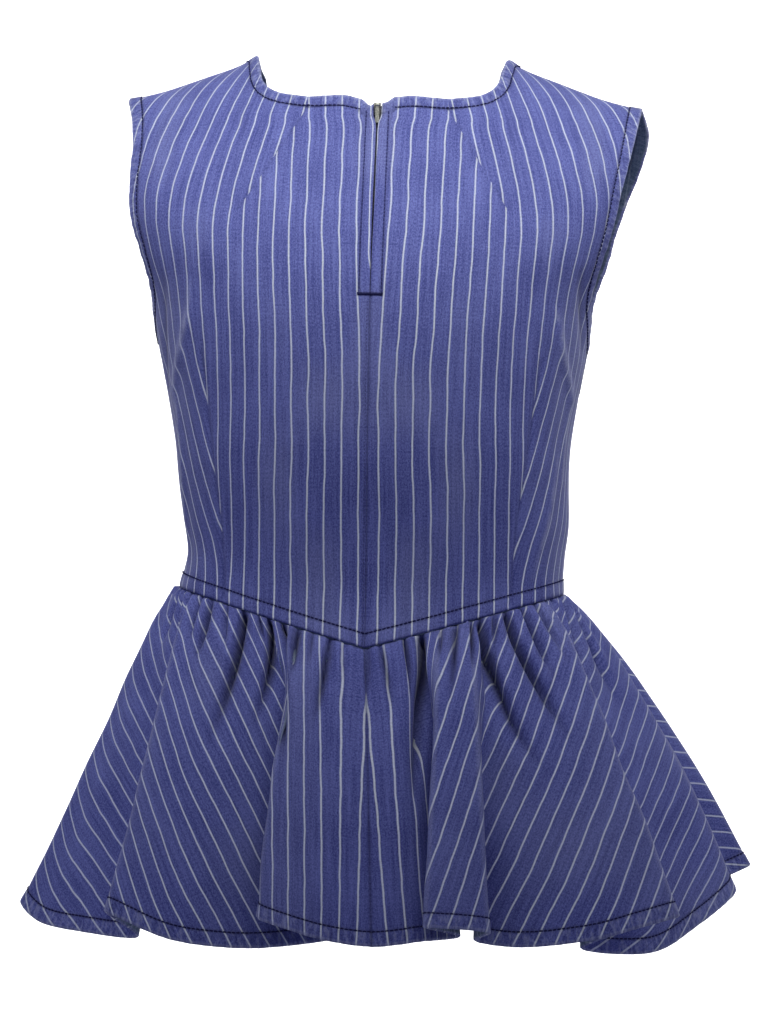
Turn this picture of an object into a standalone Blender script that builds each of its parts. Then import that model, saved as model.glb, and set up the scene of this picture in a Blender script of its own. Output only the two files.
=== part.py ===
"""Sleeveless peplum top in striped denim, filled out and hollow, as if worn.

The origin lies between the shoulders at the mean height of the shoulder seams, +Z is up and the
front faces -Y. Left and right are the wearer's, so the left side is at +X. Every panel is a wall of
cloth between an outer grid of points and the same grid moved in by the thickness of the cloth.
Sizes are in millimetres and become metres when a mesh is made.
"""
import bmesh
import bpy
import numpy as np
from math import asin, cos, degrees, pi, radians, sin
from mathutils import Matrix, Vector

METRES = 0.001
COLLECTION = "peplum_top"

# Cloth and seams
CLOTH = 1.5
SEAM_GAP = 0.3
SHARP_ANGLE = 50.0
WELD_DISTANCE = 0.001

# Colours, linear RGB
DENIM = (0.082, 0.094, 0.352)
NAVY_TAPE = (0.012, 0.014, 0.045)
DARK_METAL = (0.055, 0.057, 0.062)

# Torso of the bodice
SECTION_POWER = 2.3
SHOULDER_ROUND = 75.0
NECK_HALF_WIDTH = 86.0
SHOULDER_HALF_WIDTH = 174.0
UNDERARM_HEIGHT = -176.0
WAIST_HEIGHT = -346.0
WAIST_POINT_DROP = 37.0

SECTION_COLUMNS = ("height", "half_width", "depth", "reach", "lean")
FRONT_SECTIONS = (
    (-400.0, 137.0, 95.0, 1.00, 0.0),
    (-383.0, 134.5, 94.0, 1.00, 0.0),
    (-360.0, 132.0, 92.5, 1.00, 0.0),
    (-346.0, 130.2, 93.0, 1.00, 0.0),
    (-322.0, 127.2, 98.0, 1.00, 2.5),
    (-300.0, 130.0, 104.0, 1.00, 2.0),
    (-275.0, 132.6, 111.5, 1.00, 0.0),
    (-245.0, 134.8, 118.5, 1.00, -1.5),
    (-215.0, 139.6, 123.5, 1.00, -2.0),
    (-195.0, 143.4, 125.5, 1.00, -2.5),
    (-176.0, 147.0, 126.0, 1.00, -3.0),
    (-145.0, 148.5, 123.0, 0.965, -3.2),
    (-120.0, 155.6, 116.0, 0.93, -3.2),
    (-100.0, 161.5, 107.5, 0.91, -3.2),
    (-75.0, 165.0, 95.0, 0.90, -1.5),
    (-50.0, 167.5, 82.5, 0.90, 1.5),
    (-30.0, 170.5, 73.0, 0.90, 2.5),
    (-15.0, 174.0, 67.0, 0.90, 2.0),
    (20.0, 174.0, 60.0, 0.90, 2.0),
)
BACK_SECTIONS = (
    (-400.0, 137.0, 88.0, 1.00, 0.0),
    (-360.0, 132.0, 83.0, 1.00, 0.0),
    (-346.0, 130.2, 82.0, 1.00, 0.0),
    (-322.0, 127.2, 84.0, 1.00, 2.5),
    (-300.0, 130.0, 89.0, 1.00, 2.0),
    (-275.0, 132.6, 97.0, 1.00, 0.0),
    (-245.0, 134.8, 105.0, 1.00, -1.5),
    (-215.0, 139.6, 109.0, 1.00, -2.0),
    (-176.0, 147.0, 112.0, 1.00, -3.0),
    (-145.0, 150.5, 112.0, 0.965, -3.2),
    (-120.0, 159.0, 111.0, 0.93, -3.2),
    (-100.0, 164.0, 108.0, 0.91, -3.2),
    (-75.0, 169.5, 102.0, 0.90, -0.5),
    (-50.0, 174.5, 92.0, 0.90, 3.5),
    (-30.0, 176.5, 80.0, 0.90, 4.5),
    (-15.0, 174.0, 70.0, 0.90, 2.0),
    (20.0, 174.0, 60.0, 0.90, 2.0),
)

SHOULDER_COLUMNS = ("across", "height")
SHOULDER_SEAM = (
    (0.0, 62.0),
    (60.0, 34.0),
    (86.0, 15.0),
    (94.0, 10.0),
    (104.0, 5.5),
    (121.0, -0.5),
    (141.0, -7.5),
    (158.0, -12.5),
    (177.0, -16.5),
)
FRONT_NECKLINE = (
    (0.0, -22.5),
    (5.0, -19.5),
    (12.0, -17.6),
    (50.0, -17.3),
    (63.0, -15.2),
    (71.0, -12.0),
    (76.0, -8.0),
    (80.0, -2.0),
    (83.0, 6.0),
    (86.0, 15.0),
)
NOTCH_DROP_RIGHT = 2.4
NOTCH_REACH = 14.0
BACK_NECKLINE = (
    (0.0, -15.0),
    (40.0, -14.5),
    (60.0, -13.0),
    (72.0, -10.5),
    (79.0, -7.5),
    (83.5, 0.0),
    (86.0, 15.0),
)

# Zip slot in the centre front, half its width by height
SLOT_COLUMNS = ("height", "half_gap")
SLOT = (
    (-152.0, 0.15),
    (-146.0, 0.5),
    (-120.0, 1.1),
    (-90.0, 1.3),
    (-60.0, 0.8),
    (-42.0, 0.6),
    (-32.0, 2.9),
    (-18.0, 3.4),
)

# Darts of each front, as lines of points across and up, and the soft dip along them
NECK_DART = ((47.0, -24.0), (60.0, -45.0), (76.0, -72.0), (89.5, -93.0))
WAIST_DART = ((113.0, -190.0), (105.0, -253.0), (99.0, -300.0), (96.0, -352.0))
DART_DEPTH = 1.0
DART_SPREAD = 9.0

# Columns and rows of the bodice panels
FRONT_NECK_ANGLES = (0.0, 5.5, 11.0, 16.5, 21.5, 25.0, 27.5)
BACK_NECK_ANGLES = (0.0, 9.0, 18.0, 24.0, 27.5)
NECK_ANGLE_MARGIN = 0.5
HEIGHT_PASSES = 8
FRONT_SHOULDER_SPANS = 9
BACK_SHOULDER_SPANS = 8
ROWS_BELOW_UNDERARM = 7
ROWS_ABOVE_UNDERARM = 11

# Peplum. A row for each fold or face of the hem, from the centre back round the wearer's right
# side, the front and the left side to the centre back. The waist turn is 0 at the centre front,
# 1 at a side seam and 2 at the centre back. The hem angle is taken from the front centre line,
# and the belly is how far the cloth bulges out halfway down.
FOLD_COLUMNS = ("waist_turn", "hem_angle", "hem_radius", "hem_height", "belly")
PEPLUM_FOLDS = (
    (-2.00, -180.0, 214.0, -558.0, 0.0),
    (-1.92, -172.0, 172.0, -571.0, 0.0),
    (-1.83, -166.0, 222.0, -553.0, 3.0),
    (-1.72, -152.0, 229.0, -551.0, 4.0),
    (-1.62, -145.0, 176.0, -570.0, 0.0),
    (-1.52, -137.0, 230.0, -551.0, 4.0),
    (-1.41, -124.0, 231.0, -550.0, 4.0),
    (-1.31, -117.0, 178.0, -570.0, 0.0),
    (-1.21, -110.0, 228.0, -551.0, 4.0),
    (-1.11, -98.0, 224.0, -553.0, 4.0),
    (-1.00, -90.0, 196.0, -563.0, 1.0),
    (-0.93, -80.5, 234.0, -559.0, 0.0),
    (-0.90, -74.5, 225.0, -570.0, 0.0),
    (-0.86, -66.4, 200.5, -575.0, 0.0),
    (-0.78, -53.3, 180.8, -575.0, 0.0),
    (-0.68, -45.2, 227.0, -554.0, 2.0),
    (-0.59, -33.3, 213.0, -569.0, 2.0),
    (-0.50, -27.1, 197.7, -573.0, 0.0),
    (-0.41, -18.3, 174.9, -574.0, 0.0),
    (-0.32, -4.0, 142.4, -568.0, 0.0),
    (-0.23, -17.9, 201.8, -552.0, 2.0),
    (-0.12, -5.5, 208.0, -563.0, 2.0),
    (0.00, 3.8, 209.5, -567.0, 2.0),
    (0.10, 13.3, 204.5, -564.0, 0.0),
    (0.17, 22.4, 178.5, -564.0, 0.0),
    (0.25, 12.4, 218.0, -554.0, 2.0),
    (0.34, 23.1, 224.0, -557.0, 3.0),
    (0.41, 24.7, 189.3, -566.0, 0.0),
    (0.47, 30.4, 209.8, -568.0, 2.0),
    (0.55, 40.7, 234.7, -563.0, 4.0),
    (0.63, 47.8, 248.5, -555.0, 7.0),
    (0.71, 54.2, 256.4, -549.0, 8.0),
    (0.80, 56.5, 177.5, -576.0, 5.0),
    (0.88, 67.6, 209.9, -579.0, 8.0),
    (0.94, 78.8, 229.0, -564.0, 9.0),
    (1.00, 90.0, 251.0, -543.0, 10.0),
    (1.07, 95.5, 216.0, -552.0, 9.0),
    (1.15, 101.0, 268.0, -530.0, 10.0),
    (1.25, 113.0, 236.0, -549.0, 6.0),
    (1.34, 121.0, 178.0, -570.0, 0.0),
    (1.45, 128.0, 229.0, -551.0, 4.0),
    (1.56, 141.0, 230.0, -551.0, 4.0),
    (1.66, 148.0, 175.0, -570.0, 0.0),
    (1.76, 156.0, 226.0, -552.0, 4.0),
    (1.88, 168.0, 226.0, -552.0, 4.0),
    (2.00, 180.0, 214.0, -558.0, 0.0),
)
HEM_SPACING = 14.0
PEPLUM_ROWS = (0.0, 0.04, 0.1, 0.18, 0.28, 0.41, 0.55, 0.7, 0.85, 1.0)
PEPLUM_PUFF = 0.64
PUFF_HEIGHT = 4
BELLY_LOWNESS = 1.3
WRAP_ROWS = 3
COLUMNS_TO_A_GATHER = 4
GATHER_DEPTH = 4.2
GATHER_TOP = 0.1
GATHER_FADE = 0.3

# Zip
TAPE_HALF_WIDTH = 12.0
TAPE_TOP = -27.0
TAPE_BOTTOM = -158.0
TAPE_THICKNESS = 1.0
TAPE_COLUMNS = 6
TAPE_ROWS = 12
SLIDER_WIDTH = 4.4
SLIDER_LENGTH = 8.0
SLIDER_DEPTH = 2.6
SLIDER_TOP = -21.5
SLIDER_ROUNDING = 0.5
CHEEK_THICKNESS = 0.7
CHEEK_REACH = 2.15
CHEEK_LENGTH = 2.4
CHEEK_INSET = 0.3
CHEEK_ROOT = 0.9
BAR_RADIUS = 0.35
BAR_DROP = 1.5
BAR_SIDES = 12
EYE_RADIUS = 0.65
EYE_SIDES = 16
PULL_BARREL_RADIUS = 1.15
PULL_BARREL_SIDES = 20
PULL_HEAD_WIDTH = 2.2
PULL_END_WIDTH = 2.8
PULL_END_STEPS = 8
PULL_LENGTH = 12.0
PULL_THICKNESS = 0.8


def clear_scene():
    for thing in list(bpy.data.objects):
        bpy.data.objects.remove(thing, do_unlink=True)


def material(name, colour, roughness, metallic=0.0):
    made = bpy.data.materials.new(name)
    made.use_nodes = True
    shader = made.node_tree.nodes["Principled BSDF"]
    shader.inputs["Base Color"].default_value = (*colour, 1.0)
    shader.inputs["Roughness"].default_value = roughness
    shader.inputs["Metallic"].default_value = metallic
    return made


def columns_of(rows, names):
    """The rows of a table as one array for each named column."""
    return dict(zip(names, np.array(rows).T))


def smooth(places, values, at):
    """A cubic curve through the values, without corners and with gentle slopes at its ends."""
    steps = np.diff(places)
    slopes = np.diff(values) / steps
    inner = (slopes[:-1] * steps[1:] + slopes[1:] * steps[:-1]) / (steps[:-1] + steps[1:])
    tangents = np.concatenate([slopes[:1], inner, slopes[-1:]])
    at = np.clip(at, places[0], places[-1])
    span = np.clip(np.searchsorted(places, at, side="right") - 1, 0, len(steps) - 1)
    width = steps[span]
    t = (at - places[span]) / width
    start = (1 + 2 * t) * (1 - t) ** 2 * values[span] + t * (1 - t) ** 2 * width * tangents[span]
    end = t * t * (3 - 2 * t) * values[span + 1] - t * t * (1 - t) * width * tangents[span + 1]
    return start + end


def read(rows, names, value, at):
    """One column of a table, read smoothly at places along its first column."""
    table = columns_of(rows, names)
    return smooth(table[names[0]], table[value], at)


def shoulder_height(across):
    return read(SHOULDER_SEAM, SHOULDER_COLUMNS, "height", np.abs(across))


def sections(facing):
    return FRONT_SECTIONS if facing < 0 else BACK_SECTIONS


def across_at(facing, angle, height):
    """Distance across from the centre line. The form leans a little, most at its sides."""
    turn = np.sin(np.radians(angle))
    half_width = read(sections(facing), SECTION_COLUMNS, "half_width", height)
    return half_width * turn + read(sections(facing), SECTION_COLUMNS, "lean", height) * turn ** 2


def torso(facing, angle, height):
    """Outer face of the bodice. facing is -1 in front and 1 behind, angle is from the centre."""
    depth = read(sections(facing), SECTION_COLUMNS, "depth", height)
    reach = read(sections(facing), SECTION_COLUMNS, "reach", height)
    across = across_at(facing, angle, height)
    share = np.clip(reach * np.abs(np.sin(np.radians(angle))), 0, 1)
    bend = (1 - share ** SECTION_POWER) ** (1 / SECTION_POWER)
    over = np.clip((shoulder_height(across) - height) / SHOULDER_ROUND, 0, 1)
    closing = np.sqrt(1 - (1 - over) ** 2)
    return np.stack([across, facing * depth * bend * closing, height], axis=-1)


def distance_to_line(points, line):
    """Distance in the front view from each point to a dart's line."""
    flat = points[..., [0, 2]]
    best = np.full(flat.shape[:-1], np.inf)
    for start, end in zip(np.array(line[:-1]), np.array(line[1:])):
        along = np.clip(((flat - start) @ (end - start)) / np.sum((end - start) ** 2), 0, 1)
        best = np.minimum(best, np.linalg.norm(flat - start - along[..., None] * (end - start), axis=-1))
    return best


def dart_dip(points):
    """How far the cloth sinks beside the sewn darts of a front."""
    both_sides = np.abs(points) * (1, 1, -1)
    near = np.minimum(distance_to_line(both_sides, NECK_DART), distance_to_line(both_sides, WAIST_DART))
    return DART_DEPTH * np.exp(-((near / DART_SPREAD) ** 2))


def waist_height(facing, angle):
    """The waist seam is level behind and falls to a point at the centre front."""
    if facing > 0:
        return np.full(np.shape(angle), WAIST_HEIGHT)
    return WAIST_HEIGHT - WAIST_POINT_DROP * (1 - np.abs(np.sin(np.radians(angle))))


def top_height(facing, angle):
    """Height of the neckline and shoulder seam at the head of each column."""
    neckline = FRONT_NECKLINE if facing < 0 else BACK_NECKLINE
    height = np.zeros(len(angle))
    for _ in range(HEIGHT_PASSES):
        across = across_at(facing, angle, height)
        at_neck = read(neckline, SHOULDER_COLUMNS, "height", np.abs(across))
        if facing < 0:
            notch = NOTCH_DROP_RIGHT * np.exp(-(across / NOTCH_REACH) ** 2)
            at_neck = at_neck - np.where(angle < 0, notch, 0)
        in_neck = np.abs(angle) < abs(neck_point_angle(1)) - NECK_ANGLE_MARGIN
        height = np.where(in_neck, at_neck, shoulder_height(across))
    return height


def row_shares():
    """Shares of a column's height. Rows crowd at the underarm and at the shoulder."""
    underarm = (UNDERARM_HEIGHT - WAIST_HEIGHT) / (SHOULDER_SEAM[-1][1] - WAIST_HEIGHT)
    below = underarm * np.linspace(0, 1, ROWS_BELOW_UNDERARM + 1)
    turn = np.linspace(0, pi, ROWS_ABOVE_UNDERARM + 1)[1:]
    return np.concatenate([below, underarm + (1 - underarm) * (1 - np.cos(turn)) / 2])


def neck_point_angle(side):
    """Angle of the column that ends at the neck point of one side."""
    turn = side * NECK_HALF_WIDTH / SHOULDER_HALF_WIDTH
    lean = FRONT_SECTIONS[-1][SECTION_COLUMNS.index("lean")]
    return degrees(asin(side * turn - side * lean * turn ** 2 / SHOULDER_HALF_WIDTH))


def half_angles(side, neck_angles, spans):
    return side * np.concatenate([neck_angles, np.linspace(neck_point_angle(side), 90, spans + 1)])


def bodice_grid(facing, angles):
    """Outer points, a row for each share of the height, columns counterclockwise from above."""
    bottom = waist_height(facing, angles) + SEAM_GAP / 2
    top = top_height(facing, angles)
    shares = row_shares()[:, None]
    heights = bottom + (top - bottom) * shares
    points = torso(facing, np.broadcast_to(angles, heights.shape), heights)
    points[..., 1] += facing * SEAM_GAP / 2
    return points


def face_normals(points):
    along_row = np.gradient(points, axis=1)
    up_column = np.gradient(points, axis=0)
    normal = np.cross(along_row, up_column)
    return normal / np.linalg.norm(normal, axis=-1, keepdims=True)


def flatten(normals, where, axis):
    """Turn the normals of a seam into its plane, so that two panels meet squarely."""
    normals[where + (axis,)] = 0
    normals[where] /= np.linalg.norm(normals[where], axis=-1, keepdims=True)


def wall(name, outer, inner, finish, collection):
    """A closed wall between two grids of the same shape."""
    rows, columns = outer.shape[:2]
    vertices = np.concatenate([outer.reshape(-1, 3), inner.reshape(-1, 3)]) * METRES
    index = np.arange(rows * columns).reshape(rows, columns)
    behind = rows * columns
    faces = []
    for i in range(rows - 1):
        for j in range(columns - 1):
            ring = [index[i, j], index[i, j + 1], index[i + 1, j + 1], index[i + 1, j]]
            faces.append(ring)
            faces.append([corner + behind for corner in reversed(ring)])
    border = [*index[0, :], *index[1:, -1], *index[-1, -2::-1], *index[-2:0:-1, 0]]
    for here, there in zip(border, border[1:] + border[:1]):
        faces.append([there, here, here + behind, there + behind])
    mesh = bpy.data.meshes.new(name)
    mesh.from_pydata(vertices.tolist(), [], np.array(faces).tolist())
    mesh.validate()
    mesh.shade_smooth()
    mesh.set_sharp_from_angle(angle=radians(SHARP_ANGLE))
    mesh.materials.append(finish)
    thing = bpy.data.objects.new(name, mesh)
    collection.objects.link(thing)
    return thing


def slot_half_gap(height):
    table = columns_of(SLOT, SLOT_COLUMNS)
    return np.interp(height, table["height"], table["half_gap"])


def front_panel(side, finish, collection):
    """One front, from the centre to the side seam. side is 1 for the wearer's left."""
    outer = bodice_grid(-1, half_angles(side, FRONT_NECK_ANGLES, FRONT_SHOULDER_SPANS))
    reach = np.abs(outer[:, -1:, 0])
    gap = slot_half_gap(outer[..., 2])
    outer[..., 0] = side * gap + outer[..., 0] * (1 - gap / reach)
    normals = side * face_normals(outer)
    flatten(normals, (slice(None), 0), 0)
    flatten(normals, (slice(0, ROWS_BELOW_UNDERARM + 1), -1), 1)
    flatten(normals, (-1, slice(len(FRONT_NECK_ANGLES), None)), 1)
    flatten(normals, (0, slice(None)), 2)
    outer = outer - dart_dip(outer)[..., None] * normals
    inner = outer - CLOTH * normals
    if side < 0:
        outer, inner = outer[:, ::-1], inner[:, ::-1]
    name = "front_left" if side > 0 else "front_right"
    return wall(name, outer, inner, finish, collection)


def back_panel(finish, collection):
    left = half_angles(1, BACK_NECK_ANGLES, BACK_SHOULDER_SPANS)
    right = half_angles(-1, BACK_NECK_ANGLES, BACK_SHOULDER_SPANS)
    outer = bodice_grid(1, np.concatenate([left[::-1], right[1:]]))
    normals = face_normals(outer)
    for edge in (0, -1):
        flatten(normals, (slice(0, ROWS_BELOW_UNDERARM + 1), edge), 1)
    shoulder = BACK_SHOULDER_SPANS + 1
    flatten(normals, (-1, slice(0, shoulder)), 1)
    flatten(normals, (-1, slice(-shoulder, None)), 1)
    flatten(normals, (0, slice(None)), 2)
    inner = outer - CLOTH * normals
    return wall("back", outer, inner, finish, collection)


def waist_point(turn):
    """Outer point of the waist seam at a turn: 0 centre front, 1 and -1 side seams, 2 centre back."""
    turn = np.asarray(turn, dtype=float)
    in_front = np.abs(turn) <= 1
    front_angle = 90 * np.clip(turn, -1, 1)
    back_angle = np.sign(turn) * 90 * (2 - np.clip(np.abs(turn), 1, 2))
    front = torso(-1, front_angle, waist_height(-1, front_angle))
    back = torso(1, back_angle, waist_height(1, back_angle))
    return np.where(in_front[..., None], front, back)


def hem_and_waist():
    """Points of the hem and the waist seam for each column, and the column of each table row."""
    table = columns_of(PEPLUM_FOLDS, FOLD_COLUMNS)
    angle = np.radians(table["hem_angle"])
    x = table["hem_radius"] * np.sin(angle)
    y = -table["hem_radius"] * np.cos(angle)
    chord = np.hypot(np.diff(x), np.diff(y))
    knots = np.concatenate([[0], np.cumsum(np.sqrt(chord))])
    spans = np.maximum(2, np.round(chord / HEM_SPACING)).astype(int)
    steps = [np.linspace(knots[i], knots[i + 1], n, endpoint=False) for i, n in enumerate(spans)]
    at = np.append(np.concatenate(steps), knots[-1])
    before, after = slice(-1 - WRAP_ROWS, -1), slice(1, 1 + WRAP_ROWS)
    wrapped = np.concatenate([knots[before] - knots[-1], knots, knots[-1] + knots[after]])

    def around(values):
        return smooth(wrapped, np.concatenate([values[before], values, values[after]]), at)

    turn = np.interp(at, knots, table["waist_turn"])
    hem = np.stack([around(x), around(y), around(table["hem_height"])], axis=-1)
    row_columns = np.concatenate([[0], np.cumsum(spans)])
    belly = np.interp(at, knots, table["belly"])
    return waist_point(turn), hem, belly, dict(zip(table["waist_turn"], row_columns))


def peplum_grid():
    waist, hem, belly, row_columns = hem_and_waist()
    share = np.array(PEPLUM_ROWS)[::-1, None]
    spread = share + PEPLUM_PUFF * share * (1 - share) ** PUFF_HEIGHT
    points = waist + (hem - waist) * spread[..., None]
    points[..., 2] = waist[:, 2] - SEAM_GAP / 2 + (hem[:, 2] - waist[:, 2] + SEAM_GAP / 2) * share
    out = (hem - waist) * (1, 1, 0)
    out /= np.linalg.norm(out, axis=-1, keepdims=True)
    points += (belly * np.sin(pi * share ** BELLY_LOWNESS))[..., None] * out
    columns = waist.shape[0] - 1
    gathers = round(columns / COLUMNS_TO_A_GATHER)
    wave = np.cos(2 * pi * gathers * np.arange(columns + 1) / columns)
    rising = share / GATHER_TOP
    fading = np.exp(-(share - GATHER_TOP) / GATHER_FADE)
    swell = np.where(share < GATHER_TOP, rising, fading) * (1 - share)
    outward = face_normals(points) * (1, 1, 0)
    outward /= np.linalg.norm(outward, axis=-1, keepdims=True)
    return points + (GATHER_DEPTH * swell * wave)[..., None] * outward, row_columns


def peplum_normals(points):
    """Normals of the closed skirt, the same at its first and last column."""
    wrapped = np.concatenate([points[:, -2:-1], points, points[:, 1:2]], axis=1)
    normals = face_normals(wrapped)[:, 1:-1]
    flatten(normals, (-1, slice(None)), 2)
    return normals


def parted(points, first, last):
    """A copy of some columns whose outer columns stand back half a seam gap."""
    part = points[:, first:last + 1].copy()
    for edge, nxt in ((0, 1), (-1, -2)):
        step = part[:, nxt] - part[:, edge]
        part[:, edge] += SEAM_GAP / 2 * step / np.linalg.norm(step, axis=-1, keepdims=True)
    return part


def peplum_panels(finish, collection):
    outer, row_columns = peplum_grid()
    inner = outer - CLOTH * peplum_normals(outer)
    right, front, left = row_columns[-1.0], row_columns[0.0], row_columns[1.0]
    for name, first, last in (("peplum_front_right", right, front), ("peplum_front_left", front, left)):
        wall(name, parted(outer, first, last), parted(inner, first, last), finish, collection)
    back_outer = np.concatenate([outer[:, left:-1], outer[:, :right + 1]], axis=1)
    back_inner = np.concatenate([inner[:, left:-1], inner[:, :right + 1]], axis=1)
    last = back_outer.shape[1] - 1
    wall("peplum_back", parted(back_outer, 0, last), parted(back_inner, 0, last), finish, collection)


def front_surface(across, height):
    """Outer face of the front near the centre, by distance across."""
    half_width = read(FRONT_SECTIONS, SECTION_COLUMNS, "half_width", height)
    return torso(-1, np.degrees(np.arcsin(across / half_width)), height)


def zip_tape(finish, collection):
    across = np.linspace(-TAPE_HALF_WIDTH, TAPE_HALF_WIDTH, TAPE_COLUMNS + 1)
    height = np.linspace(TAPE_BOTTOM, TAPE_TOP, TAPE_ROWS + 1)
    across, height = np.meshgrid(across, height)
    points = front_surface(across, height)
    normals = face_normals(points)
    behind = CLOTH + 2 * SEAM_GAP
    outer = points - behind * normals
    inner = outer - TAPE_THICKNESS * normals
    return wall("zip_tape", outer, inner, finish, collection)


def primitive(name, collection):
    """Take the primitive that was just added into the collection under its name."""
    thing = bpy.context.object
    thing.name = name
    for other in list(thing.users_collection):
        other.objects.unlink(thing)
    collection.objects.link(thing)
    return thing


def box(name, low, high, collection):
    bpy.ops.mesh.primitive_cube_add(size=1)
    thing = primitive(name, collection)
    low, high = np.array(low) * METRES, np.array(high) * METRES
    stretch = Matrix.Diagonal((*(high - low), 1.0))
    thing.data.transform(Matrix.Translation(Vector((low + high) / 2)) @ stretch)
    return thing


def rod(name, radius, length, place, sides, collection):
    """A round bar along X about a place."""
    bpy.ops.mesh.primitive_cylinder_add(
        vertices=sides, radius=radius * METRES, depth=length * METRES,
        location=np.array(place) * METRES, rotation=(0, pi / 2, 0))
    return primitive(name, collection)


def boolean(target, tool, operation):
    cut = target.modifiers.new(operation.lower(), "BOOLEAN")
    cut.operation = operation
    cut.object = tool
    tool.hide_render = True
    tool.display_type = "WIRE"


def slider_places():
    """Back and front of the slider, and the axis that the pull turns on."""
    foot = np.array([SLIDER_TOP - SLIDER_LENGTH])
    slider_back = float(front_surface(np.zeros(1), foot)[0, 1]) + CLOTH
    slider_front = slider_back - SLIDER_DEPTH
    axis = (0.0, slider_front - PULL_BARREL_RADIUS - SEAM_GAP, SLIDER_TOP - BAR_DROP)
    return slider_back, slider_front, axis


def zip_slider(finish, collection, cutters):
    back, front, axis = slider_places()
    half = SLIDER_WIDTH / 2
    bottom = SLIDER_TOP - SLIDER_LENGTH
    slider = box("zip_slider", (-half, front, bottom), (half, back, SLIDER_TOP), collection)
    bevel = slider.modifiers.new("rounded", "BEVEL")
    bevel.width = SLIDER_ROUNDING * METRES
    bevel.segments = 2
    for side in (-1, 1):
        outside, inside = side * half, side * (half - CHEEK_THICKNESS)
        top = SLIDER_TOP - CHEEK_INSET
        low = (min(outside, inside), front - CHEEK_REACH, top - CHEEK_LENGTH)
        high = (max(outside, inside), front + CHEEK_ROOT, top)
        cheek = box(f"cheek_{side}", low, high, cutters)
        boolean(slider, cheek, "UNION")
    bar = rod("bar", BAR_RADIUS, SLIDER_WIDTH - CHEEK_THICKNESS, axis, BAR_SIDES, cutters)
    boolean(slider, bar, "UNION")
    slider.data.materials.append(finish)
    return slider


def tab_outline():
    """Outline of the tab below the axis, narrow at the head and round at its end."""
    head, end = PULL_HEAD_WIDTH / 2, PULL_END_WIDTH / 2
    outline = [(head, 0.0), (-head, 0.0)]
    for step in range(PULL_END_STEPS + 1):
        turn = pi + pi * step / PULL_END_STEPS
        outline.append((end * cos(turn), end * sin(turn) - PULL_LENGTH + end))
    return outline


def tab_plate(axis, cutters):
    """The flat tab as a closed mesh, hanging straight down from the axis."""
    curve = bpy.data.curves.new("tab_outline", "CURVE")
    curve.dimensions = "2D"
    curve.fill_mode = "BOTH"
    curve.extrude = PULL_THICKNESS / 2 * METRES
    outline = tab_outline()
    spline = curve.splines.new("POLY")
    spline.points.add(len(outline) - 1)
    for point, (x, z) in zip(spline.points, outline):
        point.co = (x * METRES, z * METRES, 0, 1)
    spline.use_cyclic_u = True
    shape = bpy.data.objects.new("tab_shape", curve)
    cutters.objects.link(shape)
    shape.rotation_euler = (pi / 2, 0, 0)
    shape.location = np.array(axis) * METRES
    bpy.context.view_layer.update()
    evaluated = shape.evaluated_get(bpy.context.evaluated_depsgraph_get())
    mesh = bpy.data.meshes.new_from_object(evaluated)
    place = shape.matrix_world.copy()
    bpy.data.objects.remove(shape, do_unlink=True)
    weld(mesh)
    plate = bpy.data.objects.new("tab_plate", mesh)
    plate.matrix_world = place
    cutters.objects.link(plate)
    return plate


def zip_pull(finish, collection, cutters):
    """A small barrel that turns on the slider's bar, with the tab hanging from it."""
    _, _, axis = slider_places()
    pull = rod("zip_pull", PULL_BARREL_RADIUS, PULL_HEAD_WIDTH, axis, PULL_BARREL_SIDES, collection)
    boolean(pull, tab_plate(axis, cutters), "UNION")
    eye = rod("eye", EYE_RADIUS, 2 * SLIDER_WIDTH, axis, EYE_SIDES, cutters)
    boolean(pull, eye, "DIFFERENCE")
    pull.data.materials.append(finish)
    return pull


def weld(mesh):
    work = bmesh.new()
    work.from_mesh(mesh)
    bmesh.ops.remove_doubles(work, verts=work.verts, dist=WELD_DISTANCE * METRES)
    work.to_mesh(mesh)
    work.free()


def build():
    clear_scene()
    collection = bpy.data.collections.new(COLLECTION)
    cutters = bpy.data.collections.new("cutters")
    bpy.context.scene.collection.children.link(collection)
    bpy.context.scene.collection.children.link(cutters)
    denim = {}
    for name in ("front_right", "front_left", "back", "peplum"):
        denim[name] = material(name + "_denim", DENIM, 0.85)
    front_panel(-1, denim["front_right"], collection)
    front_panel(1, denim["front_left"], collection)
    back_panel(denim["back"], collection)
    peplum_panels(denim["peplum"], collection)
    zip_tape(material("zip_tape_cloth", NAVY_TAPE, 0.9), collection)
    metal = material("dark_metal", DARK_METAL, 0.35, 1.0)
    zip_slider(metal, collection, cutters)
    zip_pull(metal, collection, cutters)


build()
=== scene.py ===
"""Looks of a sleeveless peplum top in washed denim with fine pale stripes, filled out as if worn.

Sizes are in millimetres in the frame's own axes: the front faces -Y, +Z is up and the wearer's left
is at +X. Each panel is a thin shell on the form of its solid, with its folds, seams and turned edges
worked into the grid. The stripes follow the cut: every point knows its place on the flat cloth.
"""
from math import asin, cos, degrees, pi, radians, sin

import bpy
import numpy as np
from mathutils import Matrix, Vector
from mathutils.bvhtree import BVHTree

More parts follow.
